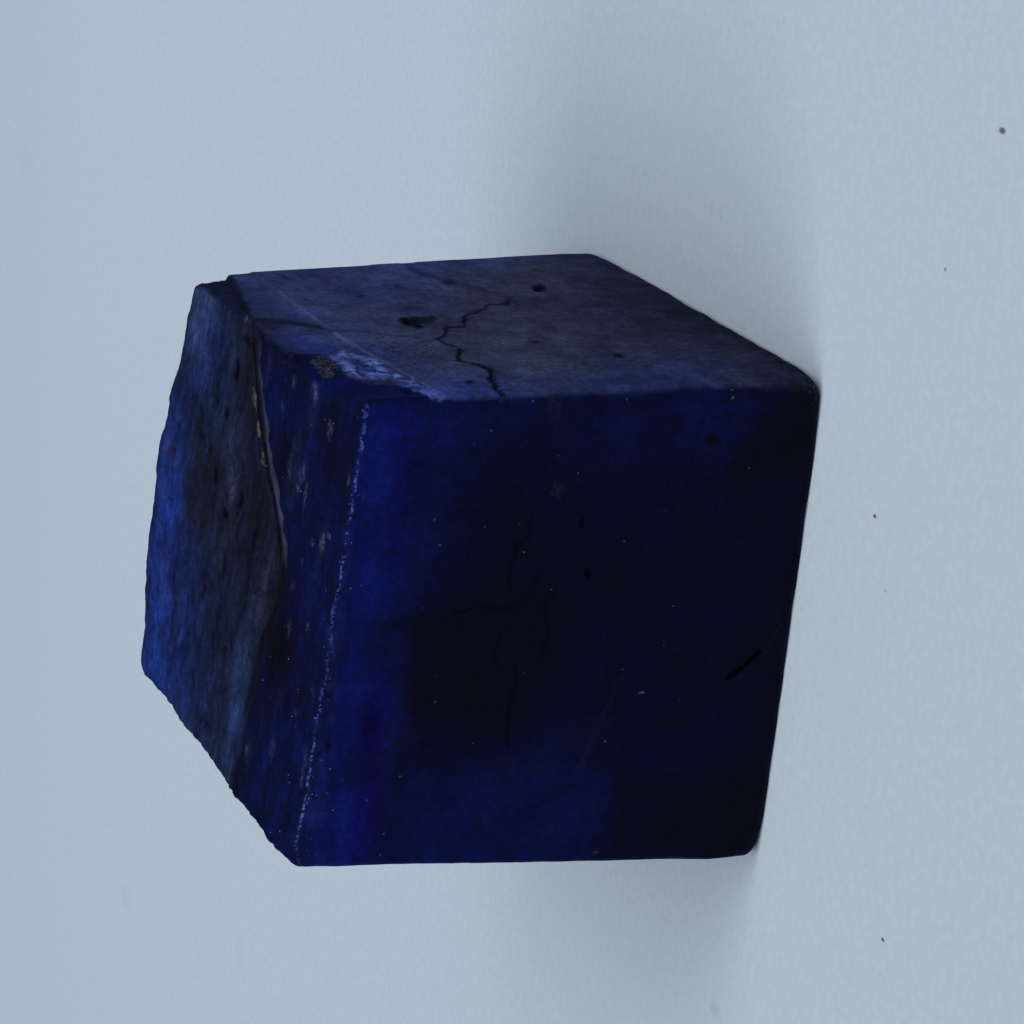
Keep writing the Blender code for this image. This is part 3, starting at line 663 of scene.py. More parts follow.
top_glow += strip_share * (0.135 + 0.05 * middling + 0.05 * fine + soft_sum(x, y, (
    (1, -11.3, 2, 1.6, 0.07), (-14, -13.5, 1.5, 2, 0.05), (-12.5, -9, 4, 4, 0.05),
    (-6.5, -13.6, 4.5, 2.4, 0.1), (2.5, -12.5, 3.2, 2.4, 0.07), (6, -13.2, 3, 2.2, 0.12),
    (8, -8.5, 3, 1.8, 0.07), (12, -1.5, 3, 3, 0.06), (13.5, -7.8, 2, 1, 0.16), (-3, -9, 3, 2, -0.1),
    (9.5, -11.8, 3.2, 1.8, -0.04), (7.5, -4.6, 2.4, 1.2, -0.07), (-12, -5, 4, 1, -0.04))))
top_violet = strip_share * 0.35 + strip_share * 0.65 * spread(x, y, (
    (7.8, -4.6, 2.2, 1.2, 0.9), (-5.5, -10.5, 1.2, 0.6, 0.6), (9.5, -11.8, 3, 1.4, 0.5),
    (1, -9.5, 2.5, 1.2, 0.4)))
# a grey film on the lower floor, with a painted sheen
top_film_and_sheen = rear * (0.135 + soft_sum(x, y, (
    (-8, -2.6, 5, 1.5, 0.22), (-13.5, -1.2, 2, 3, 0.12), (-3.2, -3.5, 2.5, 1, 0.08),
    (1.5, -5, 3.2, 0.9, 0.14), (3.2, 2.8, 1.4, 0.9, 0.12), (5.2, 3.9, 1.8, 1.1, 0.1),
    (-1, 3.9, 1.6, 1.2, 0.1), (9.5, 8.8, 4, 3, 0.03), (11.5, 12.8, 2.6, 2.2, 0.36),
    (13.8, 12.6, 1.4, 2.6, 0.34), (2.5, 3.8, 2, 1.6, 0.07), (8, 4, 2.2, 1.4, 0.07),
    (-13.6, 5.5, 1.6, 2, 0.12), (-9, 13, 6, 3, 0.05), (5.5, -4.5, 1.8, 1.2, 0.12),
    (-0.6, 15.4, 0.8, 1, 0.22), (2.3, 15, 0.9, 1.3, 0.22), (4, 3.6, 1, 0.9, 0.08), (2, -0.8, 5, 3, -0.04))))
top_film_and_sheen *= 1 + 0.6 * wander(flat, 0.75, 3, stretch=(0.5, 1.3, 1), shift=23)
top_film_and_sheen += strip_share * soft_sum(x, y, (
    (12.8, -8.2, 2.4, 0.5, 0.15), (7.8, -6.6, 2.2, 0.8, 0.12), (4.6, -12.3, 1.5, 0.4, 0.12),
    (-11.2, -5.6, 1.2, 0.5, 0.12), (12.5, -0.3, 0.8, 0.4, 0.2)))
top_earth = rear * spread(x, y, (
    (2.5, -5.6, 2, 0.8, 0.7, 20), (6.8, -1.2, 1, 0.5, 0.7, 40), (8.6, 0.4, 1.1, 0.5, 0.6, 40),
    (12, 2.9, 2, 0.6, 0.65, 25), (1.5, 9, 4.5, 3.5, 0.45), (4, -1.8, 4.2, 2.6, 0.6),
    (10.5, 3, 3.5, 1.6, 0.45), (-9.2, 15.2, 0.6, 1, 0.6), (0, -2.5, 4.6, 2.2, 0.5)), ragged=0.7)
front_patch = spread(x, y, ((-2.2, -7, 4.2, 2, 0.5, 8), (-6, -10.8, 1.4, 0.6, 0.5)), ragged=0.9)
# painted shade in the hollows of the lower floor
top_shade_and_dark = rear * spread(x, y, (
    (-12.3, 2.7, 0.9, 1.8, 0.75), (-7, 2.8, 1.2, 0.4, 0.55), (-5.2, 2.5, 1.6, 0.35, 0.4),
    (-1.6, 2.6, 1.4, 0.45, 0.5), (-0.8, 2.9, 0.45, 0.5, 0.6), (-2.8, 8.5, 0.5, 0.5, 0.6),
    (6.7, 11.6, 0.8, 1.1, 0.4), (9.5, 11.1, 0.45, 0.5, 0.65), (4.9, 10, 0.6, 0.5, 0.5),
    (4.6, 7.8, 0.5, 0.5, 0.55), (3.3, 6.3, 0.8, 0.38, 0.9, 15), (7.6, 5.9, 0.52, 0.45, 0.9),
    (7.9, 7.9, 0.6, 0.5, 0.45), (10.7, 5.2, 1.05, 0.42, 0.92, 10), (1.5, 3.7, 0.42, 0.6, 0.85),
    (2.6, 3.8, 0.42, 0.35, 0.65), (12.1, 8.6, 1.2, 0.6, 0.4), (13, 4, 0.3, 0.9, 0.6),
    (5.5, 5, 0.5, 0.4, 0.5), (3, 1.5, 1.1, 0.6, 0.92, -15), (4, 0.6, 0.6, 0.3, 0.65),
    (1.3, -1.8, 1.4, 0.5, 0.65), (4.3, -2, 1.2, 0.35, 0.55), (0, 0.5, 0.5, 0.4, 0.45),
    (-6.8, 0.6, 0.45, 0.4, 0.65), (-14.2, 15.2, 0.4, 0.8, 0.6)), edge=0.9, ragged=1.1)
floor_foot = (
    (-16, -3.6), (-10, -3.9), (-7.3, -4.1), (-3.8, -4.9), (-1.8, -5.9), (1.3, -6.4), (2.4, -7.2), (4, -9))
below_floor, _ = line_side(x, y + 0.25 * middling + 0.1 * fine, floor_foot)
earthy = spread(x, y, ((-2.4, -6.9, 3.8, 1.9, 1, 8), (-5.6, -9.6, 1.6, 0.8, 0.7, -30)), ragged=0.9)
top_earth = most(top_earth, 0.8 * smooth(-below_floor / 0.3) * earthy)
ragged_rim = ((13.95, 2.2), (13.85, 0.6), (14.2, -1.5), (14.4, -3.6), (14.3, -5.2))
groove_edge = ((-6.2, -0.3), (-4.6, -0.8), (-3, -1.6), (0.5, -1.7), (3.6, -2))
behind_lip = smooth((past - lip - 0.1) / 0.15) * smooth(lip + 2.9 - past) * smooth((lip - 0.1) / 0.2)
lip_line = (
    (2.4, -6.85), (4.05, -5.7), (5.5, -4.1), (6.55, -2.8), (7.85, -1.7), (8.9, -0.75), (10.3, 0.4),
    (11.8, 1.5), (13.4, 2.4), (14.2, 2.8))
beside_lip, along_lip = line_side(x, y, lip_line)
lip_foot = smooth(1.5 - np.abs(beside_lip - 0.62 - 0.12 * fine - 0.08 * middling) / 0.2)
lip_foot *= smooth(along_lip / 0.02) * smooth((1 - along_lip) / 0.08)
lip_notch = spread(x, y, ((7.75, -1.45, 0.3, 0.22, 0.8, 60), (1.6, -6.5, 0.8, 0.4, 0.6, 20)), edge=0.8)
# painted shade behind and at the foot of the lip, in the ledge's shadow, below the floor's foot and along
# the rims
top_shade_and_dark = most(
    top_shade_and_dark, front_patch, 0.22 * behind_lip, 0.8 * lip_foot, lip_notch,
    0.3 * smooth(1.3 - np.abs(past - 0.3) / 0.5) * smooth((-3.5 - x) / 3) * smooth(0.7 + middling),
    rear * 0.55 * smooth(-below_floor / 0.4) * smooth((x + 12) / 5),
    0.6 * line_mark(x + 0.3 * middling + 0.25 * fine, y, ragged_rim, 0.3),
    0.45 * line_mark(x, y + 0.3 * middling, groove_edge, 0.35) * rear)
fibres = wander(flat, 1.5, 4, stretch=(0.8, 1.2, 1), shift=3)
# pale bruises on the strip, partly painted highlights on its cleavage steps
top_pale = strip_share * spread(x, y, (
    (7.6, -7.7, 1, 0.42, 0.05, -20), (6.8, -8.8, 1.1, 0.25, 0.045), (13.3, -7.9, 1.3, 0.4, 0.055, 25),
    (8.4, -5.9, 1.5, 0.55, 0.03), (11.7, -11, 0.9, 0.45, 0.05), (5, -12.3, 0.8, 0.35, 0.055),
    (4.6, -11, 0.35, 0.25, 0.05), (-0.3, -12, 0.4, 0.28, 0.06), (-1.6, -9.3, 0.9, 0.4, 0.025),
    (-5.8, -12.1, 0.35, 0.2, 0.04), (-11.1, -5.5, 0.4, 0.45, 0.035), (-3.8, -14.2, 0.5, 0.5, 0.045),
    (9.9, -14.7, 0.9, 0.25, 0.05), (5.8, -13.2, 0.22, 0.22, 0.11), (14.1, -8.9, 0.25, 0.2, 0.14),
    (14.2, -12, 0.3, 0.6, 0.035), (3, -9.8, 0.2, 0.2, 0.06), (-8.5, -14.6, 1.4, 0.3, 0.03),
    (-9.3, -9.5, 0.9, 0.5, 0.018), (1.2, -8.8, 0.5, 0.4, 0.02), (12.7, -4.6, 0.6, 0.5, 0.03),
    (10.8, -3.4, 0.4, 0.3, 0.025)), edge=0.9, ragged=1.1)
# a painted highlight along the lip's bevelled edge
top_lip_highlight = on_lip * (0.044 + 0.022 * middling + 0.02 * fine)
top_pale = most(top_pale, rear * spread(x, y, (
    (3.2, 3, 1, 0.45, 0.016, -20), (14.4, 5, 0.45, 0.55, 0.13), (13.8, 8.7, 0.15, 0.5, 0.05),
    (10, 1.45, 0.45, 0.25, 0.06, 30), (11, 6.2, 0.9, 0.3, 0.012)), edge=0.9, ragged=1.1))
lip_rock = spread(x, y, (
    (9.9, 1.6, 0.85, 0.3, 1, 34), (8.2, 0.15, 0.75, 0.26, 0.8, 42), (6.8, -1.2, 0.6, 0.34, 0.8, 45)),
    edge=0.8, ragged=1.1)
top_granules = strip_share * spread(x, y, (
    (14.5, -8.6, 1, 2.6, 1), (14.7, -5, 0.45, 4, 0.6)), edge=1.2, ragged=0.8)
top_teal = soft_sum(x, y, ((-10, -2.4, 7, 2.4, 1), (11, 9.5, 5, 7, 1), (-12, 7, 4, 5, 0.6)))
top_teal = 0.55 + 0.45 * np.clip(top_teal, 0, 1)

# the back and the left face, as sawn
x, y = points[:, 0], points[:, 1]
# their grey film carries a painted sheen
back_film_and_sheen = 0.38 + 0.1 * broad
back_glow = 0.05 + 0.22 * smooth((z - 24) / 6) + 0.25 * smooth((np.abs(x) - 11) / 5)
left_film_and_sheen = 0.14 + 0.06 * broad
left_glow = 0.06 + 0.28 * smooth((z - 23) / 7) + 0.3 * smooth((np.abs(y) - 11) / 6)

# how far each place is to either side of the front rim, and how thick the glints are along it
rim_side = front[1] - points @ front[0] - (top_relief(points) - over_plane) + 0.13
rim_crowd = read_plain((
    (-15, 0.15), (-13.5, 0.2), (-12.5, 0.7), (-10.5, 1), (-9.5, 0.9), (-7.5, 0.75), (-6.5, 0.5),
    (-5.5, 0.1), (-4.5, 0.45), (-3.5, 0.5), (-1, 0.35), (1, 0.3), (3.5, 0.55), (4.5, 0.8), (8.5, 0.6),
    (10.5, 0.45), (12, 0.8), (14, 0.4), (15.5, 0.3)), points[:, 0])
on_faces = {
    FRONT: {"glow": 0.72 * front_glow, "film": front_film_and_sheen, "violet": 0.55 + 0.45 * front_violet,
            "earth": front_earth, "pale": front_pale, "hollow": front_shade_and_dark, "teal": 0.3, "sawn": 0.25,
            "split": smooth((z - 29) / 0.8)},
    RIGHT: {"glow": right_glow, "film": right_film_and_sheen, "violet": 0.55 * bare * (1 - broken),
            "earth": right_earth, "hollow": right_shade_and_dark, "scar": scarred, "saw_step": step_strength,
            "crack": crack_strength, "granules": right_granules, "specks": right_specks,
            "sawn": right_sawn},
    BACK: {"glow": back_glow, "film": back_film_and_sheen, "violet": 0.2, "teal": 0.3, "sawn": 1},
    LEFT: {"glow": left_glow, "film": left_film_and_sheen, "violet": 0.2, "teal": 0.3, "sawn": 0.4},
    TOP: {"glow": top_glow, "film": top_film_and_sheen, "violet": top_violet, "earth": top_earth, "pale": top_pale,
          "hollow": top_shade_and_dark, "lip": top_lip_highlight, "granules": top_granules, "rock": lip_rock,
          "teal": top_teal, "split": 1},
    BASE: {"glow": 0.05, "film": 0.25, "earth": 0.3, "sawn": 0.5},
}


def lay(name, values):
    layer = data.attributes.new(name, "FLOAT", "POINT")
    layer.data.foreach_set("value", values)


for name in sorted({name for layers in on_faces.values() for name in layers}):
    blend = sum(share[:, which] * layers.get(name, 0) for which, layers in on_faces.items())
    lay(name, np.clip(blend, 0, 3))
lay("edge", 1 - smooth((share.max(axis=1) - 0.55) / 0.45))
lay("over_step", over_step / step_width)
lay("crack_side", crack_side)
lay("rim_side", rim_side)
lay("rim", rim_crowd * (share[:, FRONT] + share[:, TOP]))

# ----------------------------------------------------------------------
# Its finish: the colours that lie on it, broken up as fine as the eye can see, with saw lines on
# the matt faces and fibres on the split.
finish = bpy.data.materials.new("tanzanite")
finish.use_nodes = True
nodes, links = finish.node_tree.nodes, finish.node_tree.links
shader = nodes["Principled BSDF"]


def node(kind, **settings):
    made = nodes.new(kind)
    for setting, value in settings.items():
        setattr(made, setting, value)
    return made


def feed(socket, value):
    if isinstance(value, bpy.types.NodeSocket):
        links.new(value, socket)
    else:
        socket.default_value = value


def reckon(operation, *values):
    made = node("ShaderNodeMath", operation=operation)
    for socket, value in zip(made.inputs, values):
        feed(socket, value)
    return made.outputs[0]


def times(first, *others):
    for other in others:
        first = reckon("MULTIPLY", first, other)
    return first


def plus(one, other):
    return reckon("ADD", one, other)


def largest(first, *others):
    for other in others:
        first = reckon("MAXIMUM", first, other)
    return first


def about_zero(noise, width):
    """Fine noise about 0.5 made into noise about 0, this wide."""
    return reckon("MULTIPLY_ADD", noise, width, -0.5 * width)


def laid(name):
    return node("ShaderNodeAttribute", attribute_name=name).outputs["Fac"]


def grain(size, detail=3, stretch=(1, 1, 1), roughness=0.6, turn=0):
    """Fine noise about 0.5; size is how many times it repeats in a millimetre, turn is about x."""
    place = node("ShaderNodeMapping", vector_type="TEXTURE")
    feed(place.inputs["Vector"], node("ShaderNodeTexCoord").outputs["Object"])
    place.inputs["Rotation"].default_value = (turn, 0, 0)
    place.inputs["Scale"].default_value = [MM / (size * each) for each in stretch]
    made = node("ShaderNodeTexNoise")
    made.inputs["Scale"].default_value = 1
    made.inputs["Detail"].default_value = detail
    made.inputs["Roughness"].default_value = roughness
    links.new(place.outputs[0], made.inputs["Vector"])
    return made.outputs["Fac"]


def ramp(value, low, high, to_low=0, to_high=1):
    made = node("ShaderNodeMapRange", interpolation_type="SMOOTHSTEP")
    for socket, number in zip(made.inputs, (value, low, high, to_low, to_high)):
        feed(socket, number)
    return made.outputs[0]


def tint(colour, strength):
    """A colour laid on by a strength."""
    made = node("ShaderNodeVectorMath", operation="SCALE")
    feed(made.inputs[0], colour)
    feed(made.inputs["Scale"], strength)
    return made.outputs[0]


def add(one, other):
    made = node("ShaderNodeVectorMath", operation="ADD")
    links.new(one, made.inputs[0])
    links.new(other, made.inputs[1])
    return made.outputs[0]


def cover(under, colour, strength):
    made = node("ShaderNodeMix", data_type="RGBA", clamp_factor=True)
    feed(made.inputs["Factor"], strength)
    links.new(under, made.inputs["A"])
    feed(made.inputs["B"], (*colour, 1) if isinstance(colour, tuple) else colour)
    return made.outputs["Result"]


cloud, mottle, pores = grain(0.35, 5), grain(2.2, 4), grain(4.5, 1)
saw_lines = grain(2.6, 3, stretch=(1, 1, 0.1))
fibre_lines = grain(1, 3, stretch=(0.45, 1.2, 1))
saw_break = plus(1, times(laid("sawn"), about_zero(saw_lines, 0.44)))
fibre_break = plus(1, times(laid("split"), about_zero(fibre_lines, 2.4)))

# the deep blue that shines through the stone, painted into its colour, and the grey film over it with a
# painted sheen
deep_blue, deep_violet, nearly_black = (0.01, 0.11, 1), (0.02, 0, 0.9), (0.0042, 0.0046, 0.0082)
violet_grey, teal_grey = (0.053, 0.059, 0.116), (0.042, 0.064, 0.106)
glow_blue = cover(tint(deep_blue, 1), deep_violet, laid("violet"))
glow_break = times(ramp(cloud, 0.38, 0.62, 0.72, 1.28), ramp(mottle, 0.4, 0.62, 0.8, 1.2), fibre_break)
glow = tint(glow_blue, times(laid("glow"), 0.2, glow_break))
film_and_sheen_break = times(ramp(cloud, 0.38, 0.62, 0.86, 1.14), ramp(mottle, 0.36, 0.64, 0.82, 1.18),
                   ramp(pores, 0.25, 0.75, 0.82, 1.18))
film_and_sheen_strength = times(laid("film"), film_and_sheen_break, saw_break, fibre_break)
hue = plus(laid("teal"), about_zero(grain(0.8, 3), 1.6))
film = cover(tint(violet_grey, film_and_sheen_strength), tint(teal_grey, film_and_sheen_strength), ramp(hue, 0.2, 0.9))
colour = add(add(glow, film), tint(nearly_black, 1))

# what lies on that, one over the other, with painted highlights, painted glints and painted shade among it
earth_brown, scar_white, scrape_and_highlight_white = (0.01, 0.009, 0.012), (0.32, 0.43, 1), (0.5, 0.58, 0.9)
rim_glint_blue, granule_dark, granule_pale = (0.2, 0.27, 0.95), (0.014, 0.014, 0.03), (0.19, 0.175, 0.18)
rock_tan, shade_and_dark_marks_black = (0.3, 0.25, 0.22), (0.002, 0.002, 0.004)
earth_share = ramp(plus(laid("earth"), about_zero(grain(2.6, 5), 2.4)), 0.3, 0.75)
scar_grain = grain(2, 5, (1, 0.35, 1), turn=math.radians(51))
pale_share = times(laid("pale"), ramp(grain(4.5, 3), 0.42, 0.6, 0.25, 1.75))
# a painted highlight along the line of the saw step
saw_step_highlight = times(ramp(reckon("ABSOLUTE", laid("over_step")), 0.15, 0.03, 0, 0.11), laid("saw_step"),
                   ramp(grain(1.6, 3), 0.3, 0.6, 0.35, 1))
# painted glints along the front rim
to_rim = reckon("ABSOLUTE", plus(laid("rim_side"), about_zero(mottle, 0.5)))
rim_glint_share = times(ramp(to_rim, 0.18, 0.03), laid("rim"), ramp(grain(4.4, 2), 0.46, 0.62, 0, 0.5))
granule_share = ramp(plus(laid("granules"), about_zero(grain(5, 3), 1.6)), 0.25, 0.6)
granule_light = ramp(grain(11, 1), 0.52, 0.68, 0, 0.7)
crack_width = ramp(grain(0.9, 2), 0.4, 0.6, 0.2, 0.4)
crack_share = times(laid("crack"), ramp(reckon("ABSOLUTE", laid("crack_side")), crack_width, 0.02))
rock_share = times(laid("rock"), ramp(grain(2.4, 3), 0.4, 0.6, 0.08, 0.52))
# painted shade in the crevices of the split
crevices = times(ramp(grain(0.85, 4, (0.8, 1.2, 1), 0.65), 0.41, 0.33), laid("split"), 0.42)
pore_share = times(ramp(pores, 0.42, 0.3), laid("specks"), 0.6)
for paint, strength in (
        (earth_brown, times(earth_share, 0.75)),
        (scar_white, times(laid("scar"), ramp(scar_grain, 0.44, 0.57, 0.03, 0.47))),
        (scrape_and_highlight_white, largest(pale_share, laid("lip"), saw_step_highlight)), (rim_glint_blue, rim_glint_share),
        (granule_dark, times(granule_share, 0.75)), (granule_pale, times(granule_share, granule_light)),
        (rock_tan, rock_share), (shade_and_dark_marks_black, largest(laid("hollow"), crevices, pore_share, crack_share))):
    colour = cover(colour, paint, strength)
links.new(colour, shader.inputs["Base Color"])
matt = plus(ramp(laid("film"), 0, 0.4, 0.64, 0.7), about_zero(mottle, 0.3))
links.new(reckon("MULTIPLY_ADD", laid("edge"), 0.3, matt), shader.inputs["Roughness"])
shader.inputs["Specular IOR Level"].default_value = 0.006
height = plus(times(mottle, 0.4), times(laid("sawn"), saw_lines, 0.8))
height = plus(height, times(laid("split"), fibre_lines, 2.2))
bump = node("ShaderNodeBump")
bump.inputs["Strength"].default_value = 0.55
bump.inputs["Distance"].default_value = 0.05 * MM
links.new(height, bump.inputs["Height"])
links.new(bump.outputs[0], shader.inputs["Normal"])
data.materials.append(finish)
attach(stone, "root")
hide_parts("rough_tanzanite")

# ----------------------------------------------------------------------
# Loose-looking flakes of the split, coloured pale blue as painted glints, thickest along the front
# rim, and tan grains of the rock it grew in, caught by the near corner and behind the lip.
def grain_material(name, colour, roughness):
    made = bpy.data.materials.new(name)
    made.use_nodes = True
    tree = made.node_tree
    look = tree.nodes["Principled BSDF"]
    look.inputs["Roughness"].default_value = roughness
    place = tree.nodes.new("ShaderNodeTexCoord")
    speckle = tree.nodes.new("ShaderNodeTexNoise")
    speckle.inputs["Scale"].default_value = 1.4 / MM
    tones = tree.nodes.new("ShaderNodeValToRGB")
    tones.color_ramp.elements[0].position, tones.color_ramp.elements[1].position = 0.38, 0.62
    tones.color_ramp.elements[0].color = (*(0.2 * channel for channel in colour), 1)
    tones.color_ramp.elements[1].color = (*colour, 1)
    tree.links.new(place.outputs["Object"], speckle.inputs["Vector"])
    tree.links.new(speckle.outputs["Fac"], tones.inputs["Fac"])
    tree.links.new(tones.outputs["Color"], look.inputs["Base Color"])
    return made


def chip_mesh(name, sides, thickness):
    """One small flat-faced chip, a unit across."""
    made = bmesh.new()
    ring = [made.verts.new((math.cos(2 * math.pi * step / sides) * (0.5 if step % 2 else 0.38),
                            math.sin(2 * math.pi * step / sides) * 0.36, 0)) for step in range(sides)]
    over = made.verts.new((0.08, 0.05, thickness))
    under = made.verts.new((-0.05, 0, -thickness))
    for one, other in zip(ring, ring[1:] + ring[:1]):
        made.faces.new((one, other, over))
        made.faces.new((other, one, under))
    chip = bpy.data.meshes.new(name)
    made.to_mesh(chip)
    made.free()
    return chip


def scatter(name, chip, layer, count_per_mm2, least, most_across, seed, material):
    """Set chips on the stone as thickly as a layer says, and make them one plain mesh."""
    tree = bpy.data.node_groups.new(name, "GeometryNodeTree")
    for label, kind in (("Stone", "Object"), ("Chip", "Object"), ("Per square metre", "Float"),
                        ("Least size", "Float"), ("Most size", "Float"), ("Seed", "Int")):
        tree.interface.new_socket(label, in_out="INPUT", socket_type="NodeSocket" + kind)
    tree.interface.new_socket("Geometry", in_out="OUTPUT", socket_type="NodeSocketGeometry")
    make = tree.nodes.new
    given, result = make("NodeGroupInput").outputs, make("NodeGroupOutput")
    ground, piece = make("GeometryNodeObjectInfo"), make("GeometryNodeObjectInfo")
    thickness_of = make("GeometryNodeInputNamedAttribute")
    thickness_of.data_type = "FLOAT"
    thickness_of.inputs["Name"].default_value = layer
    spots = make("GeometryNodeDistributePointsOnFaces")
    density = make("ShaderNodeMath")
    density.operation = "MULTIPLY"
    turn, size = make("FunctionNodeRandomValue"), make("FunctionNodeRandomValue")
    turn.data_type = "FLOAT_VECTOR"
    turn.inputs[0].default_value, turn.inputs[1].default_value = (-0.7, -0.7, -3.14), (0.7, 0.7, 3.14)
    spin, euler = make("FunctionNodeRotateRotation"), make("FunctionNodeEulerToRotation")
    spin.rotation_space = "LOCAL"
    onto = make("GeometryNodeInstanceOnPoints")
    real, paint = make("GeometryNodeRealizeInstances"), make("GeometryNodeSetMaterial")
    paint.inputs["Material"].default_value = material
    for source, goal in (
            (given["Stone"], ground.inputs["Object"]), (ground.outputs["Geometry"], spots.inputs["Mesh"]),
            (given["Per square metre"], density.inputs[0]),
            (thickness_of.outputs["Attribute"], density.inputs[1]),
            (density.outputs[0], spots.inputs["Density"]), (given["Seed"], spots.inputs["Seed"]),
            (given["Chip"], piece.inputs["Object"]), (piece.outputs["Geometry"], onto.inputs["Instance"]),
            (given["Least size"], size.inputs[2]), (given["Most size"], size.inputs[3]),
            (given["Seed"], size.inputs["Seed"]), (given["Seed"], turn.inputs["Seed"]),
            (turn.outputs["Value"], euler.inputs[0]), (euler.outputs[0], spin.inputs["Rotate By"]),
            (spots.outputs["Rotation"], spin.inputs["Rotation"]),
            (spin.outputs[0], onto.inputs["Rotation"]), (size.outputs[1], onto.inputs["Scale"]),
            (spots.outputs["Points"], onto.inputs["Points"]),
            (onto.outputs[0], real.inputs[0]), (real.outputs[0], paint.inputs["Geometry"]),
            (paint.outputs[0], result.inputs[0])):
        tree.links.new(source, goal)
    pattern = put_in_scene(name + "_pattern", chip)
    carrier = put_in_scene(name + "_carrier", bpy.data.meshes.new(name + "_carrier"))
    modifier = carrier.modifiers.new("scatter", "NODES")
    modifier.node_group = tree
    values = {"Stone": stone, "Chip": pattern, "Per square metre": count_per_mm2 / MM ** 2,
              "Least size": least * MM, "Most size": most_across * MM, "Seed": seed}
    for socket in tree.interface.items_tree:
        if socket.in_out == "INPUT":
            modifier[socket.identifier] = values[socket.name]
    bpy.context.view_layer.update()
    evaluated = carrier.evaluated_get(bpy.context.evaluated_depsgraph_get())
    plain = bpy.data.meshes.new_from_object(evaluated)
    plain.name = name
    keep_in_box(plain, 1 / MM)
    bpy.data.objects.remove(carrier)
    bpy.data.objects.remove(pattern)
    scattered = put_in_scene(name, plain)
    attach(scattered, "root")


on_rim = 0.22 * np.exp(-(rim_side / 0.2) ** 2) * rim_crowd * (share[:, FRONT] + share[:, TOP])
on_strip = share[:, TOP] * strip_share * 0.05 * np.clip(fibres - 0.15, 0, 0.6)
below_rim = share[:, FRONT] * 0.01 * smooth(points[:, 2] - 28.3)
lay("sparkle", on_rim + on_strip + below_rim + 0.04 * scarred * share[:, RIGHT])
flake_look = grain_material("glint_flake", (0.26, 0.32, 0.72), 0.6)
scatter("bright_flakes", chip_mesh("flake", 5, 0.1), "sparkle", 45, 0.05, 0.15, 4, flake_look)

corner_grains = 0.35 * np.maximum(right_granules * share[:, RIGHT], top_granules * share[:, TOP])
x, y = points[:, 0] - top_shift[0] * over_plane, points[:, 1] + top_shift[1] * over_plane
lip_grains = share[:, TOP] * rear * behind_lip * (0.03 + 0.5 * spread(x, y, (
    (6.9, -0.9, 0.5, 0.4, 0.8), (8.3, 0.4, 0.5, 0.4, 1), (9.3, 0.9, 0.5, 0.3, 1),
    (10.1, 1.6, 0.7, 0.4, 1, 30), (12, 3, 1.2, 0.5, 0.3))))
x, y, z = points.T
foot_grains = 0.35 * np.exp(-(np.linalg.norm(points - base_corners[1], axis=1) / 1.3) ** 2)
chip_grains = 0.8 * share[:, FRONT] * spread(x, z, ((5.3, 18.7, 0.7, 0.22, 1, -35),))
lay("grit", corner_grains + lip_grains + foot_grains + chip_grains)
grit_look = grain_material("tan_grain", (0.17, 0.14, 0.11), 0.7)
scatter("tan_grains", chip_mesh("grain", 6, 0.22), "grit", 12, 0.07, 0.18, 9, grit_look)

front_marks = (  # x, z, length across, length up of the few pale nicks on the front face
    (-4.2, 23.2, 0.2, 0.22), (-10.5, 27, 0.22, 0.22), (7.5, 24.4, 0.2, 0.16), (5.9, 23.9, 0.12, 0.4),
    (13, 21.4, 0.2, 0.18), (-9, 25, 0.16, 0.24), (-7.3, 11.8, 0.18, 0.2), (-4.1, 9.7, 0.24, 0.75),
    (-14.9, 11.5, 0.22, 0.6), (1.6, 8.3, 0.14, 0.26), (5.9, 12.1, 0.12, 0.2), (-2.5, 11.2, 0.14, 0.14),
    (10.3, 15.6, 0.18, 0.14), (-7, 20.5, 0.12, 0.2), (10.5, 4.4, 0.12, 0.24), (-14.2, 25.8, 0.2, 0.18),
    (-12.8, 25.7, 0.16, 0.16), (15, 6.1, 0.3, 0.26), (15.5, 6.2, 0.18, 0.3), (14.9, 13, 0.2, 0.16),
    (14.8, 19, 0.24, 0.14), (7, 21.2, 0.12, 0.14), (7.1, 19, 0.12, 0.16), (2.9, 16.5, 0.12, 0.2),
    (11.4, 17, 0.14, 0.14), (12.2, 22.4, 0.12, 0.16), (3.3, 29.2, 0.2, 0.14), (-1, 8.6, 0.1, 0.16),
)
nick_outline = ((0.2, 0.9), (1.1, 0.7), (2.3, 1), (3.3, 0.8), (4.2, 1), (5.3, 0.75))    # turn, reach
nick_height, well_in_front, steps_in = 0.03, -25, 60
nicks = bmesh.new()
for x, z, wide, tall in front_marks:
    onto = np.array(((x, well_in_front, z),))
    for _ in range(steps_in):
        distance, _ = skin(onto)
        onto = onto + (0, 1, 0) * distance[:, None] * 0.9
    rim = [nicks.verts.new(Vector(onto[0]) * MM + Vector((
        math.cos(turn) * wide * reach, 0, math.sin(turn) * tall * reach)) * 0.5 * MM)
        for turn, reach in nick_outline]
    peak = nicks.verts.new(Vector(onto[0]) * MM + Vector((0, -nick_height, 0)) * MM)
    for one, other in zip(rim, rim[1:] + rim[:1]):
        nicks.faces.new((one, other, peak))
nick_mesh = bpy.data.meshes.new("front_nicks")
nicks.to_mesh(nick_mesh)
nicks.free()
nick_mesh.materials.append(grain_material("pale_nick", (0.042, 0.05, 0.105), 0.6))
front_nicks = put_in_scene("front_nicks", nick_mesh)
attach(front_nicks, "root")

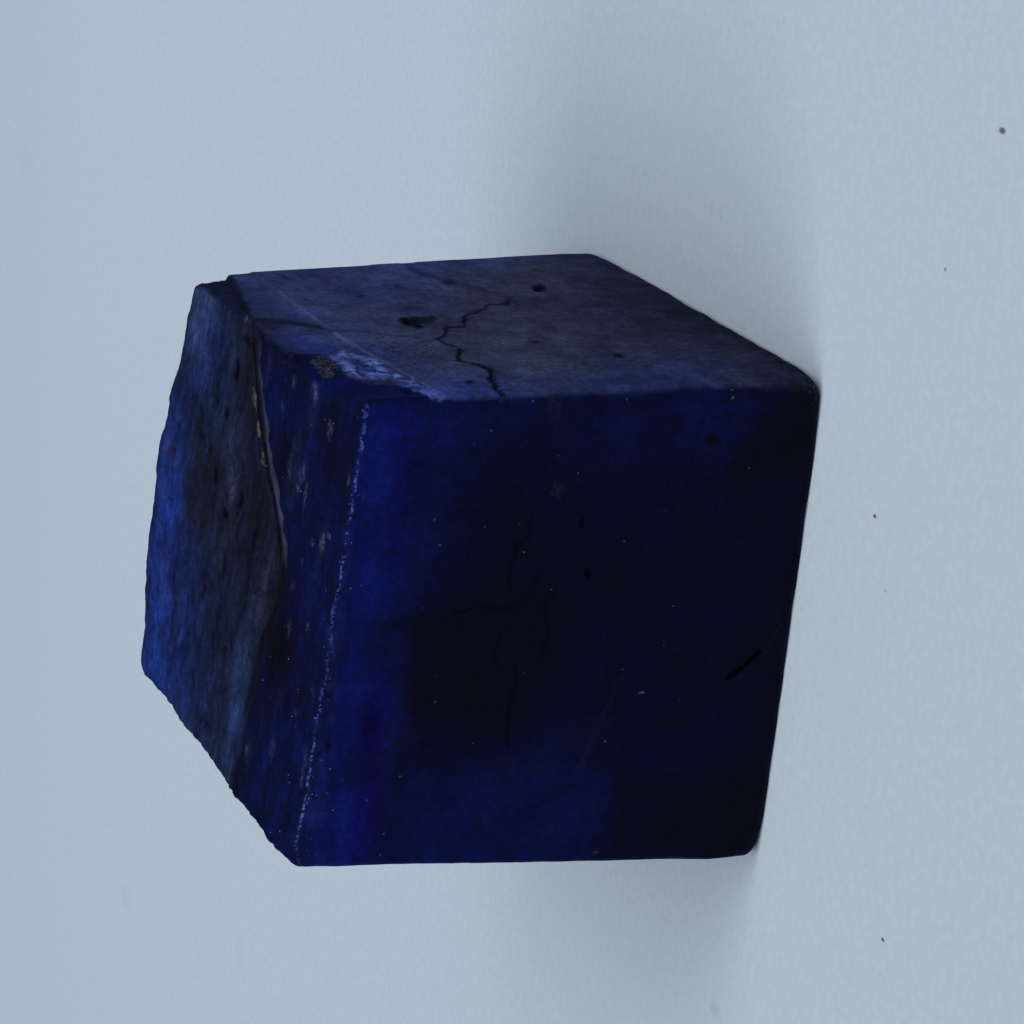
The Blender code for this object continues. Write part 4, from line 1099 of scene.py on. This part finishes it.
# ----------------------------------------------------------------------
# The sheet of pale paper it rests on, with painted light making it lighter towards the back, and specks and
# faint smudges.
paper_size = 3     # metres
specks = (         # millimetres across and deep, half-width, half-length, strength
    (34.6, -31.9, 0.17, 0.3, 0.85), (25.9, -28.4, 0.1, 0.12, 0.6), (9.9, -24.9, 0.11, 0.16, 0.9),
    (-14.3, -32.5, 0.11, 0.16, 0.9), (6, -27.2, 0.09, 0.12, 0.3), (-82.9, 115.3, 1.5, 2, 0.045),
    (-70.4, 77.2, 1.2, 1.5, 0.05), (-28.6, -14.4, 0.5, 0.6, 0.12), (-12, 173.5, 1.8, 3.5, 0.04),
)
bpy.ops.mesh.primitive_plane_add(size=paper_size, location=(0, 0, 0))
paper = bpy.context.object
paper.name = "paper"
paper_finish = bpy.data.materials.new("paper")
paper_finish.use_nodes = True
paper_shader = paper_finish.node_tree.nodes["Principled BSDF"]
nodes, links = paper_finish.node_tree.nodes, paper_finish.node_tree.links
place = node("ShaderNodeTexCoord").outputs["Object"]
over_paper = node("ShaderNodeSeparateXYZ")
links.new(place, over_paper.inputs[0])
# painted light: the paper's colour grows lighter towards the back
shade = ramp(over_paper.outputs["Y"], -0.06, 0.15, 0.935, 1.175)
shade.node.interpolation_type = "LINEAR"
shade = times(shade, ramp(grain(1.6, 6), 0.3, 0.7, 0.965, 1.035))
sheet = tint((0.57, 0.662, 0.75), shade)
for across, deep, wide, long, strength in specks:
    offset = node("ShaderNodeVectorMath", operation="SUBTRACT")
    feed(offset.inputs[0], place)
    feed(offset.inputs[1], (across * MM, deep * MM, 0))
    squashed = node("ShaderNodeVectorMath", operation="MULTIPLY")
    feed(squashed.inputs[0], offset.outputs[0])
    feed(squashed.inputs[1], (1 / (wide * MM), 1 / (long * MM), 0))
    away = node("ShaderNodeVectorMath", operation="LENGTH")
    feed(away.inputs[0], squashed.outputs[0])
    sheet = cover(sheet, (0.04, 0.05, 0.07), ramp(away.outputs["Value"], 1.6, 0.5, 0, strength))
links.new(sheet, paper_shader.inputs["Base Color"])
paper_shader.inputs["Roughness"].default_value = 0.9
paper_shader.inputs["Specular IOR Level"].default_value = 0.1
paper.data.materials.append(paper_finish)

# ----------------------------------------------------------------------
# Soft daylight from a wide window above and in front, and the camera.
world = bpy.data.worlds.new("room")
bpy.context.scene.world = world
world.use_nodes = True
world.node_tree.nodes["Background"].inputs["Color"].default_value = (0.62, 0.8, 1.05, 1)
world.node_tree.nodes["Background"].inputs["Strength"].default_value = 0.125

light = bpy.data.lights.new("window", "AREA")
light.shape = "RECTANGLE"
light.size, light.size_y = 1.9, 0.45
light.energy = 7.2
window = put_in_scene("window", light)
window.location = (0.04, -0.22, 0.7)
window.rotation_euler = (Vector((0, 0, 0.01)) - window.location).to_track_quat("-Z", "Y").to_euler()

azimuth, elevation, roll = (math.radians(angle) for angle in (19.727, 24.05, -2.289 - 90))
looked_at = Vector((4.816, -7.425, 15.5)) * MM
distance = 179.54 * MM
lens = bpy.data.cameras.new("camera")
lens.lens = 100
lens.sensor_width = 36
lens.clip_start = 0.01
camera = put_in_scene("camera", lens)
toward = Vector((math.sin(azimuth) * math.cos(elevation), -math.cos(azimuth) * math.cos(elevation),
                 math.sin(elevation)))
level = Vector((math.cos(azimuth), math.sin(azimuth), 0))
upright = Matrix((level, toward.cross(level), toward)).transposed()
camera.matrix_world = Matrix.Translation(looked_at + toward * distance) @ (
    upright @ Matrix.Rotation(roll, 3, "Z")).to_4x4()
bpy.context.scene.camera = camera
bpy.context.scene.view_settings.view_transform = "Standard"
